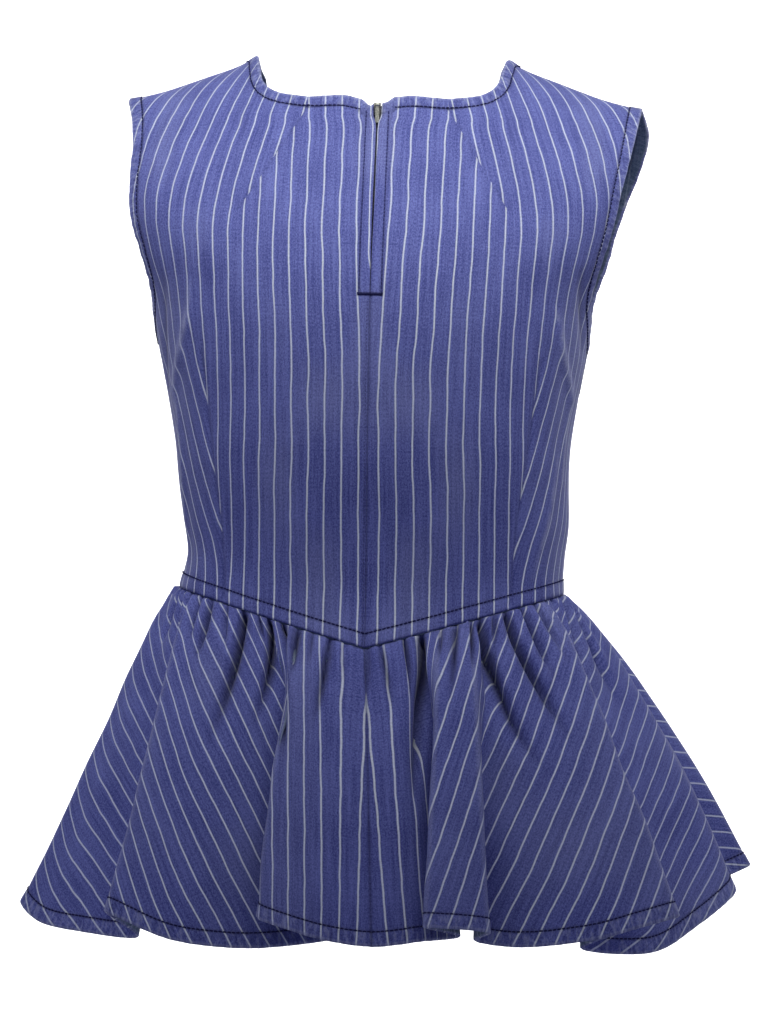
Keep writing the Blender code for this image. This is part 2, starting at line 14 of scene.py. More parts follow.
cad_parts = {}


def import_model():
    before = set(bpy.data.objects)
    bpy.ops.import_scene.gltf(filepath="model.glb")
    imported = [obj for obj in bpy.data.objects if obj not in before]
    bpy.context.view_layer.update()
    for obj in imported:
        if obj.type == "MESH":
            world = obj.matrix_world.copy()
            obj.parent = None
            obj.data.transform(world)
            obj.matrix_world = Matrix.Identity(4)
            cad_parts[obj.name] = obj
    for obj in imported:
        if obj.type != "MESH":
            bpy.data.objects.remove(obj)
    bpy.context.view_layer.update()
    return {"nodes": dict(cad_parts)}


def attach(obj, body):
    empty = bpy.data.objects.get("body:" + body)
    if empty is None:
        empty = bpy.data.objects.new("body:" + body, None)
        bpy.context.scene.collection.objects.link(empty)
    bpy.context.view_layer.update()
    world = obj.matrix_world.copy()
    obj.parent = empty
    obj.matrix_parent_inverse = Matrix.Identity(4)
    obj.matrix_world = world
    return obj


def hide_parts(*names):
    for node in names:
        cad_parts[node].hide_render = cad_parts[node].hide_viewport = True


METRES = 0.001

# Cloth and seams
CLOTH = 1.5
PEPLUM_CLOTH = 1.2
TURNED_EXTRA = 0.9
SEAM_GAP = 0.3
PEPLUM_SEAM_GAP = 0.06
STRIPE_PITCH = 11.3
NECK_BAND = 7.0
ARMHOLE_BAND = 8.0
WAIST_BAND = 9.5
HEM_BAND = 9.5
STITCH_SINK = 0.45
STITCH_WIDTH = 0.9
HEM_SPACING = 2.6

# Torso of the bodice
SECTION_POWER = 2.3
SHOULDER_ROUND = 75.0
NECK_HALF_WIDTH = 86.0
SHOULDER_HALF_WIDTH = 174.0
UNDERARM_HEIGHT = -176.0
WAIST_HEIGHT = -346.0
WAIST_POINT_DROP = 37.0
APEX_HEIGHT = -93.0
UNDERARM_ROW = 86

SECTION_COLUMNS = ("height", "half_width", "depth", "reach", "lean")
FRONT_SECTIONS = (
    (-400, 137, 95, 1.00, 0),
    (-383, 134.5, 94, 1.00, 0),
    (-360, 132, 92.5, 1.00, 0),
    (-346, 130.2, 93, 1.00, 0),
    (-322, 127.2, 98, 1.00, 2.5),
    (-300, 130, 104, 1.00, 2),
    (-275, 132.6, 111.5, 1.00, 0),
    (-245, 134.8, 118.5, 1.00, -1.5),
    (-215, 139.6, 123.5, 1.00, -2),
    (-195, 143.4, 125.5, 1.00, -2.5),
    (-176, 147, 126, 1.00, -3),
    (-145, 148.5, 123, 0.965, -3.2),
    (-120, 155.6, 116, 0.93, -3.2),
    (-100, 161.5, 107.5, 0.91, -3.2),
    (-75, 165, 95, 0.90, -1.5),
    (-50, 167.5, 82.5, 0.90, 1.5),
    (-30, 170.5, 73, 0.90, 2.5),
    (-15, 174, 67, 0.90, 2),
    (20, 174, 60, 0.90, 2),
)
BACK_SECTIONS = (
    (-400, 137, 88, 1.00, 0),
    (-360, 132, 83, 1.00, 0),
    (-346, 130.2, 82, 1.00, 0),
    (-322, 127.2, 84, 1.00, 2.5),
    (-300, 130, 89, 1.00, 2),
    (-275, 132.6, 97, 1.00, 0),
    (-245, 134.8, 105, 1.00, -1.5),
    (-215, 139.6, 109, 1.00, -2),
    (-176, 147, 112, 1.00, -3),
    (-145, 150.5, 112, 0.965, -3.2),
    (-120, 159, 111, 0.93, -3.2),
    (-100, 164, 108, 0.91, -3.2),
    (-75, 169.5, 102, 0.90, -0.5),
    (-50, 174.5, 92, 0.90, 3.5),
    (-30, 176.5, 80, 0.90, 4.5),
    (-15, 174, 70, 0.90, 2),
    (20, 174, 60, 0.90, 2),
)

SHOULDER_COLUMNS = ("across", "height")
SHOULDER_SEAM = (
    (0, 62),
    (60, 34),
    (86, 15),
    (94, 10),
    (104, 5.5),
    (121, -0.5),
    (141, -7.5),
    (158, -12.5),
    (177, -16.5),
)
FRONT_NECKLINE = (
    (0, -22.5),
    (3.5, -21.5),
    (7, -18.3),
    (12, -17.4),
    (50, -17.3),
    (63, -15.2),
    (71, -12),
    (76, -7.5),
    (79.5, -1),
    (81, 6),
    (82, 11.5),
    (83.5, 14.2),
    (86, 15),
)
NOTCH_DROP_RIGHT = 2.4
NOTCH_REACH = 14.0
BACK_NECKLINE = (
    (0, -15),
    (40, -14.5),
    (60, -13),
    (72, -10.5),
    (79, -7.5),
    (83.5, 0),
    (86, 15),
)

# Zip slot in the centre front, half its width by height
SLOT_COLUMNS = ("height", "half_gap")
SLOT = (
    (-156, 0.03),
    (-151, 0.2),
    (-125, 0.35),
    (-105, 0.5),
    (-85, 0.65),
    (-62, 0.55),
    (-40, 0.45),
    (-35, 1),
    (-31, 2.5),
    (-18, 2.9),
)
SLOT_BOTTOM = -151.0
SLOT_STITCH = 7.4
SLOT_STITCH_TOP = -26.5
CENTRE_STITCH = 1.6
CENTRE_STITCH_FOOT = -381.0
NECK_STITCH_START = 13.0
CENTRE_COLUMNS = 30
NEAR_COLUMN = 5
TAPE_THICKNESS = 0.8

# How far the stripes of each front lean away from the centre, by height
LEAN_COLUMNS = ("height", "right", "left")
STRIPE_LEAN = (
    (-340, -0.2, 0.3),
    (-285, 0.2, 0.2),
    (-258, 0, -0.7),
    (-230, 0.2, -1.1),
    (-203, 0.3, -1.2),
    (-176, 1.2, 0),
    (-149, 3, 1),
    (-128, 4, 1.8),
    (-108, 4.7, 2.4),
    (-88, 4.8, 2.8),
    (-67, 4.9, 2.9),
    (-47, 4.9, 3.3),
    (-15, 4.9, 3.9),
)
LEAN_FADE = (40.0, 110.0)
LEAN_FAR_SHARE = 0.2
SLOT_EDGE_LEAN = 3.4
SLOT_EDGE_REACH = 9.0

# Darts of each front, as lines of points across and up
NECK_DART = ((47.0, -24.0), (60.0, -45.0), (76.0, -72.0), (89.5, -93.0))
WAIST_DART = ((113.0, -190.0), (105.0, -253.0), (99.0, -300.0), (96.0, -352.0))
DARTS_PART_HEIGHT = -140.0
DART_DEPTH = 1.0
DART_SPREAD = 9.0

# How much cloth the darts take up at a height, which tilts the stripes outside them
INTAKE_COLUMNS = ("height", "intake")
DART_INTAKE = (
    (-352, 57),
    (-338, 56),
    (-322, 52),
    (-290, 38.5),
    (-250, 22),
    (-215, 8.5),
    (-188, 1.2),
    (-165, 0),
    (-110, 0),
    (-90, 1.4),
    (-60, 8),
    (-30, 15.5),
    (10, 25.5),
    (60, 38),
)

# Peplum. A row for each fold or face of the hem, from the centre back round the wearer's right
# side, the front and the left side to the centre back
FOLD_COLUMNS = ("waist_turn", "hem_angle", "hem_radius", "hem_height", "belly")
PEPLUM_FOLDS = (
    (-2.00, -180, 214, -558, 0),
    (-1.92, -172, 172, -571, 0),
    (-1.83, -166, 222, -553, 3),
    (-1.72, -152, 229, -551, 4),
    (-1.62, -145, 176, -570, 0),
    (-1.52, -137, 230, -551, 4),
    (-1.41, -124, 231, -550, 4),
    (-1.31, -117, 178, -570, 0),
    (-1.21, -110, 228, -551, 4),
    (-1.11, -98, 224, -553, 4),
    (-1.00, -90, 196, -563, 1),
    (-0.93, -80.5, 234, -559, 0),
    (-0.90, -74.5, 225, -570, 0),
    (-0.86, -66.4, 200.5, -575, 0),
    (-0.78, -53.3, 180.8, -575, 0),
    (-0.68, -45.2, 227, -554, 2),
    (-0.59, -33.3, 213, -569, 2),
    (-0.50, -27.1, 197.7, -573, 0),
    (-0.41, -18.3, 174.9, -574, 0),
    (-0.32, -4, 142.4, -568, 0),
    (-0.23, -17.9, 201.8, -552, 2),
    (-0.12, -5.5, 208, -563, 2),
    (0.00, 3.8, 209.5, -567, 2),
    (0.10, 13.3, 204.5, -564, 0),
    (0.17, 22.4, 178.5, -564, 0),
    (0.25, 12.4, 218, -554, 2),
    (0.34, 23.1, 224, -557, 3),
    (0.41, 24.7, 189.3, -566, 0),
    (0.47, 30.4, 209.8, -568, 2),
    (0.55, 40.7, 234.7, -563, 4),
    (0.63, 47.8, 248.5, -555, 7),
    (0.71, 54.2, 256.4, -549, 8),
    (0.80, 56.5, 177.5, -576, 5),
    (0.88, 67.6, 209.9, -579, 8),
    (0.94, 78.8, 229, -564, 9),
    (1.00, 90, 251, -543, 10),
    (1.07, 95.5, 216, -552, 9),
    (1.15, 101, 268, -530, 10),
    (1.25, 113, 236, -549, 6),
    (1.34, 121, 178, -570, 0),
    (1.45, 128, 229, -551, 4),
    (1.56, 141, 230, -551, 4),
    (1.66, 148, 175, -570, 0),
    (1.76, 156, 226, -552, 4),
    (1.88, 168, 226, -552, 4),
    (2.00, 180, 214, -558, 0),
)
PEPLUM_PUFF = 0.64
PUFF_HEIGHT = 4
BELLY_LOWNESS = 1.3
WRAP_ROWS = 3

# Flat cut of the peplum, a ring sector for each half
CUT_RADIUS = 190.0
CUT_LENGTH = 228.0
CUT_ANGLE = 76.0
GRAIN_ANGLE = 3.0

# Gathers under the waist seam, as troughs. The length is a share of the way to the hem.
GATHER_COLUMNS = ("turn", "depth", "width", "length", "drift")
FRONT_GATHERS = (
    (-0.950, 2.8, 2.4, 0.18, 0.00),
    (-0.860, 2.6, 2.2, 0.14, 0.00),
    (-0.790, 2.4, 2, 0.12, 0.00),
    (-0.720, 6, 2.8, 0.22, -0.10),
    (-0.640, 2.6, 2.2, 0.14, 0.00),
    (-0.585, 4.2, 2.4, 0.17, -0.15),
    (-0.500, 2.6, 2, 0.12, 0.00),
    (-0.425, 6.4, 3, 0.36, -0.26),
    (-0.362, 2.6, 1.8, 0.10, 0.00),
    (-0.325, 6.4, 2.6, 0.28, -0.24),
    (-0.266, 6.2, 3, 0.42, 0.14),
    (-0.216, 4.8, 2.6, 0.16, 0.00),
    (-0.165, 2.6, 1.8, 0.10, 0.00),
    (-0.112, 4.6, 2.4, 0.28, -0.12),
    (-0.060, 2.6, 1.8, 0.12, 0.00),
    (0.006, 2.4, 2, 0.16, -0.02),
    (0.050, 3.6, 2, 0.20, 0.10),
    (0.122, 4.6, 2, 0.18, 0.00),
    (0.182, 6, 3.2, 0.46, -0.14),
    (0.245, 2.6, 1.8, 0.10, 0.00),
    (0.300, 4.4, 2.2, 0.22, -0.06),
    (0.352, 5, 2.2, 0.14, -0.05),
    (0.388, 6.4, 3, 0.42, 0.28),
    (0.440, 3, 2, 0.12, 0.00),
    (0.495, 6.4, 2.8, 0.36, 0.24),
    (0.562, 5.8, 2.4, 0.18, 0.18),
    (0.648, 3.4, 2.2, 0.16, 0.10),
    (0.720, 2.8, 2.2, 0.12, 0.10),
    (0.775, 4, 2.4, 0.22, 0.00),
    (0.868, 4, 2.4, 0.22, 0.00),
    (0.935, 4, 2.4, 0.26, 0.00),
)
HIDDEN_GATHER_STEP = 0.083
GATHER_TOP = 0.022
GATHER_DEPTH = 2.8
GATHER_REACH = 1.35

# Soft creases of the fronts, their ridges paler with wear and painted highlight and their troughs with
# painted shade: two ends across and up, height of the ridge and its width
CREASE_COLUMNS = ("x1", "z1", "x2", "z2", "rise", "width")
CREASE_OVERRUN = 0.3
CREASES = (
    (-120, -148, -123, -172, 2, 4.5),
    (-123, -172, -132, -214, 2.4, 4.5),
    (-132, -214, -126, -262, 1.8, 5),
    (-141, -150, -140, -205, -2, 6),
    (-126, -262, -122, -322, 1.8, 5),
    (-96, -110, -128, -150, 0.8, 9),
    (122, -162, 126, -186, 2, 4.2),
    (126, -186, 132, -216, 2.2, 4.5),
    (138, -138, 140, -176, -2, 6),
    (132, -216, 127, -262, 1.6, 5),
    (112, -322, 122, -266, 1.6, 4.5),
    (98, -112, 124, -150, 0.8, 9),
    (-108, -30, -92, -62, 0.6, 8),
    (104, -28, 94, -60, 0.6, 8),
)

# Stitches and zip teeth, as rings of a tube: place along it, size, and for a stitch its lift
STITCH_RINGS = ((-0.5, 0.35, -0.9), (-0.38, 0.85, 0.1), (0.0, 1.0, 0.75),
                (0.38, 0.85, 0.1), (0.5, 0.35, -0.9))
STITCH_SIDES = 6
TOOTH_PITCH = 1.3
TOOTH_SIDES = 8
TOOTH_RINGS = ((-1.0, 0.02), (-0.95, 0.55), (-0.75, 0.95), (-0.45, 1.0),
               (-0.2, 0.72), (0.55, 0.8), (0.85, 0.7), (0.92, 0.02))

# What the points of a sheet can carry: their place on the flat cloth and by the edges, and the wear and
# painted light, which holds the paler wear with painted highlight, the painted shade and the width of the
# turned band
MARKS = ("weave", "edges", "wear")

# Noises on the denim: changes to the millimetre across and up, detail, roughness and a layer of its own
NOISE_COLUMNS = ("across", "up", "detail", "roughness", "layer")
STREAKS = (0.55, 0.018, 4.0, 0.6, 0.0)
WEFT = (0.05, 0.8, 2.0, 0.6, 4.0)
GRAIN = (1.15, 0.70, 3.0, 0.75, 9.0)
CLOUDS = (0.025, 0.025, 2.0, 0.5, 2.0)
RIDGES = (0.36, 0.10, 2.0, 0.6, 6.0)
STRIPE_DRIFT = (0.02, 0.03, 2.0, 0.5, 0.0)
STRIPE_DRIFT_REACH = 2.8

# Stripes of each cloth: its name, their strength and how far they are shifted
STRIPES = (("front_right", 0.96, 6.0), ("front_left", 0.96, 3.4), ("back", 0.96, 0.0), ("peplum", 0.94, 1.0))
STRIPE_EDGE = (0.26, 0.80)

# Colours, linear RGB
DENIM_DARK = (0.043, 0.052, 0.256)
DENIM_LIGHT = (0.136, 0.160, 0.540)
STRIPE = (0.70, 0.76, 1.00)
# The stripes are worn paler towards the waist: share of their colour at two heights up the cloth
STRIPE_WASH = ((-320.0, 1.0), (-70.0, 0.64))
# Pale colour of wear, also used for the painted highlight on crease ridges and fold crests
WORN_AND_HIGHLIGHT = (0.30, 0.33, 0.62)
# Navy of the thread, also the colour of the painted shade on the denim
NAVY_THREAD_AND_SHADE = (0.010, 0.011, 0.062)
BLUE_THREAD = (0.040, 0.045, 0.170)
SLOT_THREAD = (0.022, 0.025, 0.120)
REVERSE_DARK = (0.085, 0.125, 0.270)
REVERSE_LIGHT = (0.190, 0.260, 0.460)
SHEEN = (0.75, 0.78, 1.0, 1.0)
TAPE = (0.012, 0.014, 0.045)
TEETH_METAL = (0.05, 0.05, 0.07)
SLIDER_METAL = (0.20, 0.20, 0.23)
PULL_METAL = (0.30, 0.31, 0.35)

# Camera and studio
CAMERA_DISTANCE = 3.0
CAMERA_YAW = 2.5
CAMERA_ROLL = 1.25
CAMERA_HEIGHT = -0.293
CAMERA_AIM = 0.136
FOCAL_PIXELS = 4412.0
IMAGE_HEIGHT = 1024
SENSOR_HEIGHT = 24.0
FLOOR_HEIGHT = -1.43
FLOOR_REACH = 8.0
BEND_START = 4.2
BEND_RADIUS = 1.2
WALL_HEIGHT = 6.0
WORLD_LIGHT = 0.17
LAMP_COLUMNS = ("name", "place", "target", "size", "power", "spread", "colour")
LAMPS = (
    ("key_above", (0.04, -0.46, 0.36), (0.0, -0.05, -0.02), (1.2, 0.35), 2.45, 72, (1.0, 0.98, 0.72)),
    ("side_left", (-2.4, -1.2, 0.3), (0.0, 0.0, -0.3), (1.2, 1.8), 6.8, 180, (0.78, 0.81, 1.0)),
    ("side_right", (2.4, -1.2, 0.3), (0.0, 0.0, -0.3), (1.2, 1.8), 4.8, 180, (0.78, 0.81, 1.0)),
    ("backdrop_light", (0.0, 3.1, 1.9), (0.0, 5.2, -0.2), (4.0, 1.0), 90.0, 180, (1.0, 1.0, 1.0)),
)

rng = np.random.default_rng(7)


# Tables and curves

def columns_of(rows, names):
    return dict(zip(names, np.array(rows).T))


def smooth(places, values, at):
    """A cubic curve through the values, without corners and with gentle slopes at its ends."""
    steps = np.diff(places)
    slopes = np.diff(values) / steps
    inner = (slopes[:-1] * steps[1:] + slopes[1:] * steps[:-1]) / (steps[:-1] + steps[1:])
    tangents = np.concatenate([slopes[:1], inner, slopes[-1:]])
    at = np.clip(at, places[0], places[-1])
    span = np.clip(np.searchsorted(places, at, side="right") - 1, 0, len(steps) - 1)
    width = steps[span]
    t = (at - places[span]) / width
    start = (1 + 2 * t) * (1 - t) ** 2 * values[span] + t * (1 - t) ** 2 * width * tangents[span]
    end = t * t * (3 - 2 * t) * values[span + 1] - t * t * (1 - t) * width * tangents[span + 1]
    return start + end


def read(rows, names, value, at):
    table = columns_of(rows, names)
    return smooth(table[names[0]], table[value], at)


def ease(low, high, value):
    """0 below the low value, 1 above the high one, and smooth between."""
    t = np.clip((value - low) / (high - low), 0, 1)
    return t * t * (3 - 2 * t)


def bump(distance, width):
    return np.exp(-(distance / width) ** 2)


def soft_noise(u, v, seed):
    """Smooth noise between -1 and 1, with a new value at each whole number."""
    lattice = np.random.default_rng(seed).uniform(-1, 1, (64, 64))
    iu, iv = np.floor(u).astype(int), np.floor(v).astype(int)
    fu, fv = u - iu, v - iv
    fu, fv = fu * fu * (3 - 2 * fu), fv * fv * (3 - 2 * fv)

    def at(du, dv):
        return lattice[(iu + du) % 64, (iv + dv) % 64]

    low = at(0, 0) * (1 - fu) + at(1, 0) * fu
    high = at(0, 1) * (1 - fu) + at(1, 1) * fu
    return low * (1 - fv) + high * fv


# The form of the bodice, as in its solids

def shoulder_height(across):
    return read(SHOULDER_SEAM, SHOULDER_COLUMNS, "height", np.abs(across))


def sections(facing):
    return FRONT_SECTIONS if facing < 0 else BACK_SECTIONS


def across_at(facing, angle, height):
    turn = np.sin(np.radians(angle))
    half_width = read(sections(facing), SECTION_COLUMNS, "half_width", height)
    return half_width * turn + read(sections(facing), SECTION_COLUMNS, "lean", height) * turn ** 2


def torso(facing, angle, height):
    depth = read(sections(facing), SECTION_COLUMNS, "depth", height)
    reach = read(sections(facing), SECTION_COLUMNS, "reach", height)
    across = across_at(facing, angle, height)
    share = np.clip(reach * np.abs(np.sin(np.radians(angle))), 0, 1)
    bend = (1 - share ** SECTION_POWER) ** (1 / SECTION_POWER)
    over = np.clip((shoulder_height(across) - height) / SHOULDER_ROUND, 0, 1)
    closing = np.sqrt(1 - (1 - over) ** 2)
    return np.stack([across, facing * depth * bend * closing, height], axis=-1)


def distance_to_line(flat, line):
    """Distance in the plane from each point to a line of points."""
    best = np.full(flat.shape[:-1], np.inf)
    for start, end in zip(np.array(line[:-1]), np.array(line[1:])):
        along = np.clip(((flat - start) @ (end - start)) / np.sum((end - start) ** 2), 0, 1)
        best = np.minimum(best, np.linalg.norm(flat - start - along[..., None] * (end - start), axis=-1))
    return best


def waist_height(facing, angle):
    if facing > 0:
        return np.full(np.shape(angle), WAIST_HEIGHT)
    return WAIST_HEIGHT - WAIST_POINT_DROP * (1 - np.abs(np.sin(np.radians(angle))))


def neck_point_angle(side):
    turn = side * NECK_HALF_WIDTH / SHOULDER_HALF_WIDTH
    lean = FRONT_SECTIONS[-1][SECTION_COLUMNS.index("lean")]
    return degrees(asin(side * turn - side * lean * turn ** 2 / SHOULDER_HALF_WIDTH))


def top_height(facing, angle):
    neckline = FRONT_NECKLINE if facing < 0 else BACK_NECKLINE
    height = np.zeros(len(angle))
    neck_angle = np.where(angle < 0, neck_point_angle(-1), neck_point_angle(1))
    for _ in range(8):
        across = across_at(facing, angle, height)
        at_neck = read(neckline, SHOULDER_COLUMNS, "height", np.abs(across))
        if facing < 0:
            notch = NOTCH_DROP_RIGHT * bump(across, NOTCH_REACH)
            at_neck = at_neck - np.where(angle < 0, notch, 0)
        in_neck = np.abs(angle) < neck_angle - 0.01
        height = np.where(in_neck, at_neck, shoulder_height(across))
    return height


def half_angles(side):
    neck = neck_point_angle(side)
    return side * np.concatenate([np.linspace(0, neck, 46), np.linspace(neck, 90, 76)[1:]])


def row_shares():
    underarm = (UNDERARM_HEIGHT - WAIST_HEIGHT) / (SHOULDER_SEAM[-1][1] - WAIST_HEIGHT)
    below = underarm * np.linspace(0, 1, UNDERARM_ROW) ** 1.06
    t = np.linspace(0, 1, 101)[1:]
    above = 0.72 * t + 0.28 * (1 - np.cos(pi * t)) / 2
    return np.concatenate([below, underarm + (1 - underarm) * above])


def bodice_grid(facing, angles):
    bottom = waist_height(facing, angles) + SEAM_GAP / 2
    top = top_height(facing, angles)
    heights = bottom + (top - bottom) * row_shares()[:, None]
    points = torso(facing, np.broadcast_to(angles, heights.shape), heights)
    points[..., 1] += facing * SEAM_GAP / 2
    return points


def girth(facing, angles, heights):
    """Length of the cloth along a level line, from the centre to each point."""
    steps = np.linspace(0, 1, 40)
    fan = torso(facing, angles[..., None] * steps, np.broadcast_to(heights[..., None], angles.shape + (40,)))
    return np.linalg.norm(np.diff(fan[..., :2], axis=-2), axis=-1).sum(-1)


def cloth_place(facing, angles, across, height):
    """Length of the cloth from the centre to a point across and up."""
    reach = np.abs(across_at(facing, angles, np.full(len(angles), height)))
    angle = np.array([np.interp(abs(across), reach, angles)])
    return girth(facing, angle, np.array([height]))[0]


def length_up(points):
    """Length of the cloth up each column, from the first row."""
    steps = np.linalg.norm(np.diff(points, axis=0), axis=-1)
    return np.concatenate([np.zeros((1, points.shape[1])), np.cumsum(steps, axis=0)])


def length_across(points):
    steps = np.linalg.norm(np.diff(points, axis=1), axis=-1)
    return np.concatenate([np.zeros((points.shape[0], 1)), np.cumsum(steps, axis=1)], axis=1)


def face_normals(points):
    normal = np.cross(np.gradient(points, axis=1), np.gradient(points, axis=0))
    return normal / np.maximum(np.linalg.norm(normal, axis=-1, keepdims=True), 1e-9)


def flatten(normals, where, axis):
    normals[where + (axis,)] = 0
    normals[where] /= np.linalg.norm(normals[where], axis=-1, keepdims=True)


def near_edge(points, edge):
    """Distance of each point from an edge of the cloth, and how far along the edge it lies."""
    run = np.concatenate([[0], np.cumsum(np.linalg.norm(np.diff(edge, axis=0), axis=1))])
    best = np.full(points.shape[:-1], 1e9)
    along = np.zeros(points.shape[:-1])
    for k in range(len(edge) - 1):
        step = edge[k + 1] - edge[k]
        size = np.linalg.norm(step)
        if size < 1e-6:
            continue
        t = np.clip(((points - edge[k]) @ step) / size ** 2, 0, 1)
        gap = np.linalg.norm(points - edge[k] - t[..., None] * step, axis=-1)
        closer = gap < best
        best = np.where(closer, gap, best)
        along = np.where(closer, run[k] + t * size, along)
    return best, along


# Meshes

def placed(name, data):
    thing = bpy.data.objects.new(name, data)
    bpy.context.scene.collection.objects.link(thing)
    return thing


def grid_faces(index):
    """Faces between the points of a grid, by their numbers."""
    return np.stack([index[:-1, :-1], index[:-1, 1:], index[1:, 1:], index[1:, :-1]], axis=-1).reshape(-1, 4)


def sheet_mesh(name, grid, materials):
    """A closed thin shell between two grids. Points are turned where the border's edge is a soft fold."""
    outer, inner, turned = grid["outer"], grid["inner"], grid["turned"]
    count = turned.size
    index = np.arange(count).reshape(turned.shape)
    border = np.array([*index[0, :], *index[1:, -1], *index[-1, -2::-1], *index[-2:0:-1, 0]])
    inward = np.array([*index[1, :], *index[1:, -2], *index[-2, -2::-1], *index[-2:0:-1, 1]])
    flat_outer, flat_inner = outer.reshape(-1, 3), inner.reshape(-1, 3)
    middle = (flat_outer[border] + flat_inner[border]) / 2
    away = middle - (flat_outer[inward] + flat_inner[inward]) / 2
    away /= np.maximum(np.linalg.norm(away, axis=1, keepdims=True), 1e-9)
    thickness = np.linalg.norm(flat_outer[border] - flat_inner[border], axis=1, keepdims=True)
    ring = middle + 0.42 * thickness * away * turned.reshape(-1)[border][:, None]
    vertices = np.concatenate([flat_outer, flat_inner, ring]) * METRES
    quads = grid_faces(index)
    ring_index = 2 * count + np.arange(len(border))
    follow, ring_follow = np.roll(border, -1), np.roll(ring_index, -1)
    rim_out = np.stack([follow, border, ring_index, ring_follow], axis=1)
    rim_in = np.stack([ring_follow, ring_index, border + count, follow + count], axis=1)
    faces = np.concatenate([quads, quads[:, ::-1] + count, rim_out, rim_in])
    mesh = bpy.data.meshes.new(name)
    mesh.vertices.add(len(vertices))
    mesh.vertices.foreach_set("co", vertices.reshape(-1))
    mesh.loops.add(faces.size)
    mesh.loops.foreach_set("vertex_index", faces.reshape(-1))
    mesh.polygons.add(len(faces))
    mesh.polygons.foreach_set("loop_start", np.arange(0, faces.size, 4))
    mesh.polygons.foreach_set("loop_total", np.full(len(faces), 4))
    for finish in materials:
        mesh.materials.append(finish)
    side = np.concatenate([np.zeros(len(quads)), np.ones(len(quads)), np.zeros(2 * len(border))])
    mesh.polygons.foreach_set("material_index", side.astype(np.int32))
    mesh.polygons.foreach_set("use_smooth", np.ones(len(faces), dtype=bool))
    mesh.update(calc_edges=True)
    mesh.validate()
    for label in [mark for mark in MARKS if mark in grid]:
        flat = grid[label].reshape(-1, 3)
        full = np.concatenate([flat, flat, flat[border]]).astype(np.float32)
        attribute = mesh.attributes.new(label, "FLOAT_VECTOR", "POINT")
        attribute.data.foreach_set("vector", full.reshape(-1))
    return placed(name, mesh)


def crease(on_cloth, start, end, width):
    """A ridge between two places on the cloth that dies away at its ends, from 0 to 1."""
    start, end = np.array(start), np.array(end)
    run = end - start
    share = ((on_cloth - start) @ run) / np.sum(run ** 2)
    reached = np.clip(share, -CREASE_OVERRUN, 1 + CREASE_OVERRUN)[..., None]
    away = np.linalg.norm(on_cloth - start - reached * run,
                          axis=-1)
    fade = np.clip(0.5 - np.abs(share - 0.5) / (1 + 2 * CREASE_OVERRUN), 0, 0.5)
    return bump(away, width) * np.sin(pi * fade) ** 0.8


def joined_mesh(name, vertices, faces, finish):
    mesh = bpy.data.meshes.new(name)
    mesh.from_pydata(vertices.tolist(), [], faces.tolist())
    mesh.shade_smooth()
    mesh.materials.append(finish)
    return placed(name, mesh)


def tube_faces(rings, sides, count):
    """Faces of a number of small tubes, whose points are listed by ring, then side, then tube."""
    faces = []
    for r in range(rings - 1):
        for k in range(sides):
            a, b = r * sides + k, r * sides + (k + 1) % sides
            corners = (a, b, b + sides, a + sides)
            faces.append(np.stack([np.arange(count) + c * count for c in corners], axis=1))
    return np.concatenate(faces)


def along_run(at, run, values):
    return np.stack([np.interp(at, run, values[:, k]) for k in range(3)], axis=1)


def stitches(lines, length, gap, radius):
    """Small raised stitches along lines of points with normals, as one set of points and faces."""
    all_vertices, all_faces = [], []
    total = 0
    for points, normals in lines:
        run = np.concatenate([[0], np.cumsum(np.linalg.norm(np.diff(points, axis=0), axis=1))])
        count = max(1, int(run[-1] / (length + gap)))
        centres = (np.arange(count) + 0.5) * run[-1] / count
        place, up = along_run(centres, run, points), along_run(centres, run, normals)
        along = along_run(centres + length / 2, run, points) - along_run(centres - length / 2, run, points)
        along /= np.maximum(np.linalg.norm(along, axis=1, keepdims=True), 1e-9)
        up -= along * np.sum(up * along, axis=1, keepdims=True)
        up /= np.maximum(np.linalg.norm(up, axis=1, keepdims=True), 1e-9)
        beside = np.cross(along, up)
        for at, size, lift in STITCH_RINGS:
            for k in range(STITCH_SIDES):
                turn = 2 * pi * k / STITCH_SIDES
                ring = beside * cos(turn) + up * sin(turn)
                all_vertices.append(place + along * at * length + up * lift * radius + ring * radius * size)
        all_faces.append(total + tube_faces(len(STITCH_RINGS), STITCH_SIDES, count))
        total += len(STITCH_RINGS) * STITCH_SIDES * count
    return np.concatenate(all_vertices) * METRES, np.concatenate(all_faces)


def thread_piece(name, lines, finish, length=2.7, gap=0.2, radius=0.52):
    vertices, faces = stitches(lines, length, gap, radius)
    return joined_mesh(name, vertices, faces, finish)


# Materials

class Value:
    """A number that changes over a surface, worked on with the usual signs."""

    def __init__(self, nodes, socket):
        self.nodes, self.socket = nodes, socket

    def __add__(self, other):
        return self.nodes.maths("ADD", self, other)

    def __sub__(self, other):
        return self.nodes.maths("SUBTRACT", self, other)

    def __rsub__(self, other):
        return self.nodes.maths("SUBTRACT", other, self)

    def __mul__(self, other):
        return self.nodes.maths("MULTIPLY", self, other)


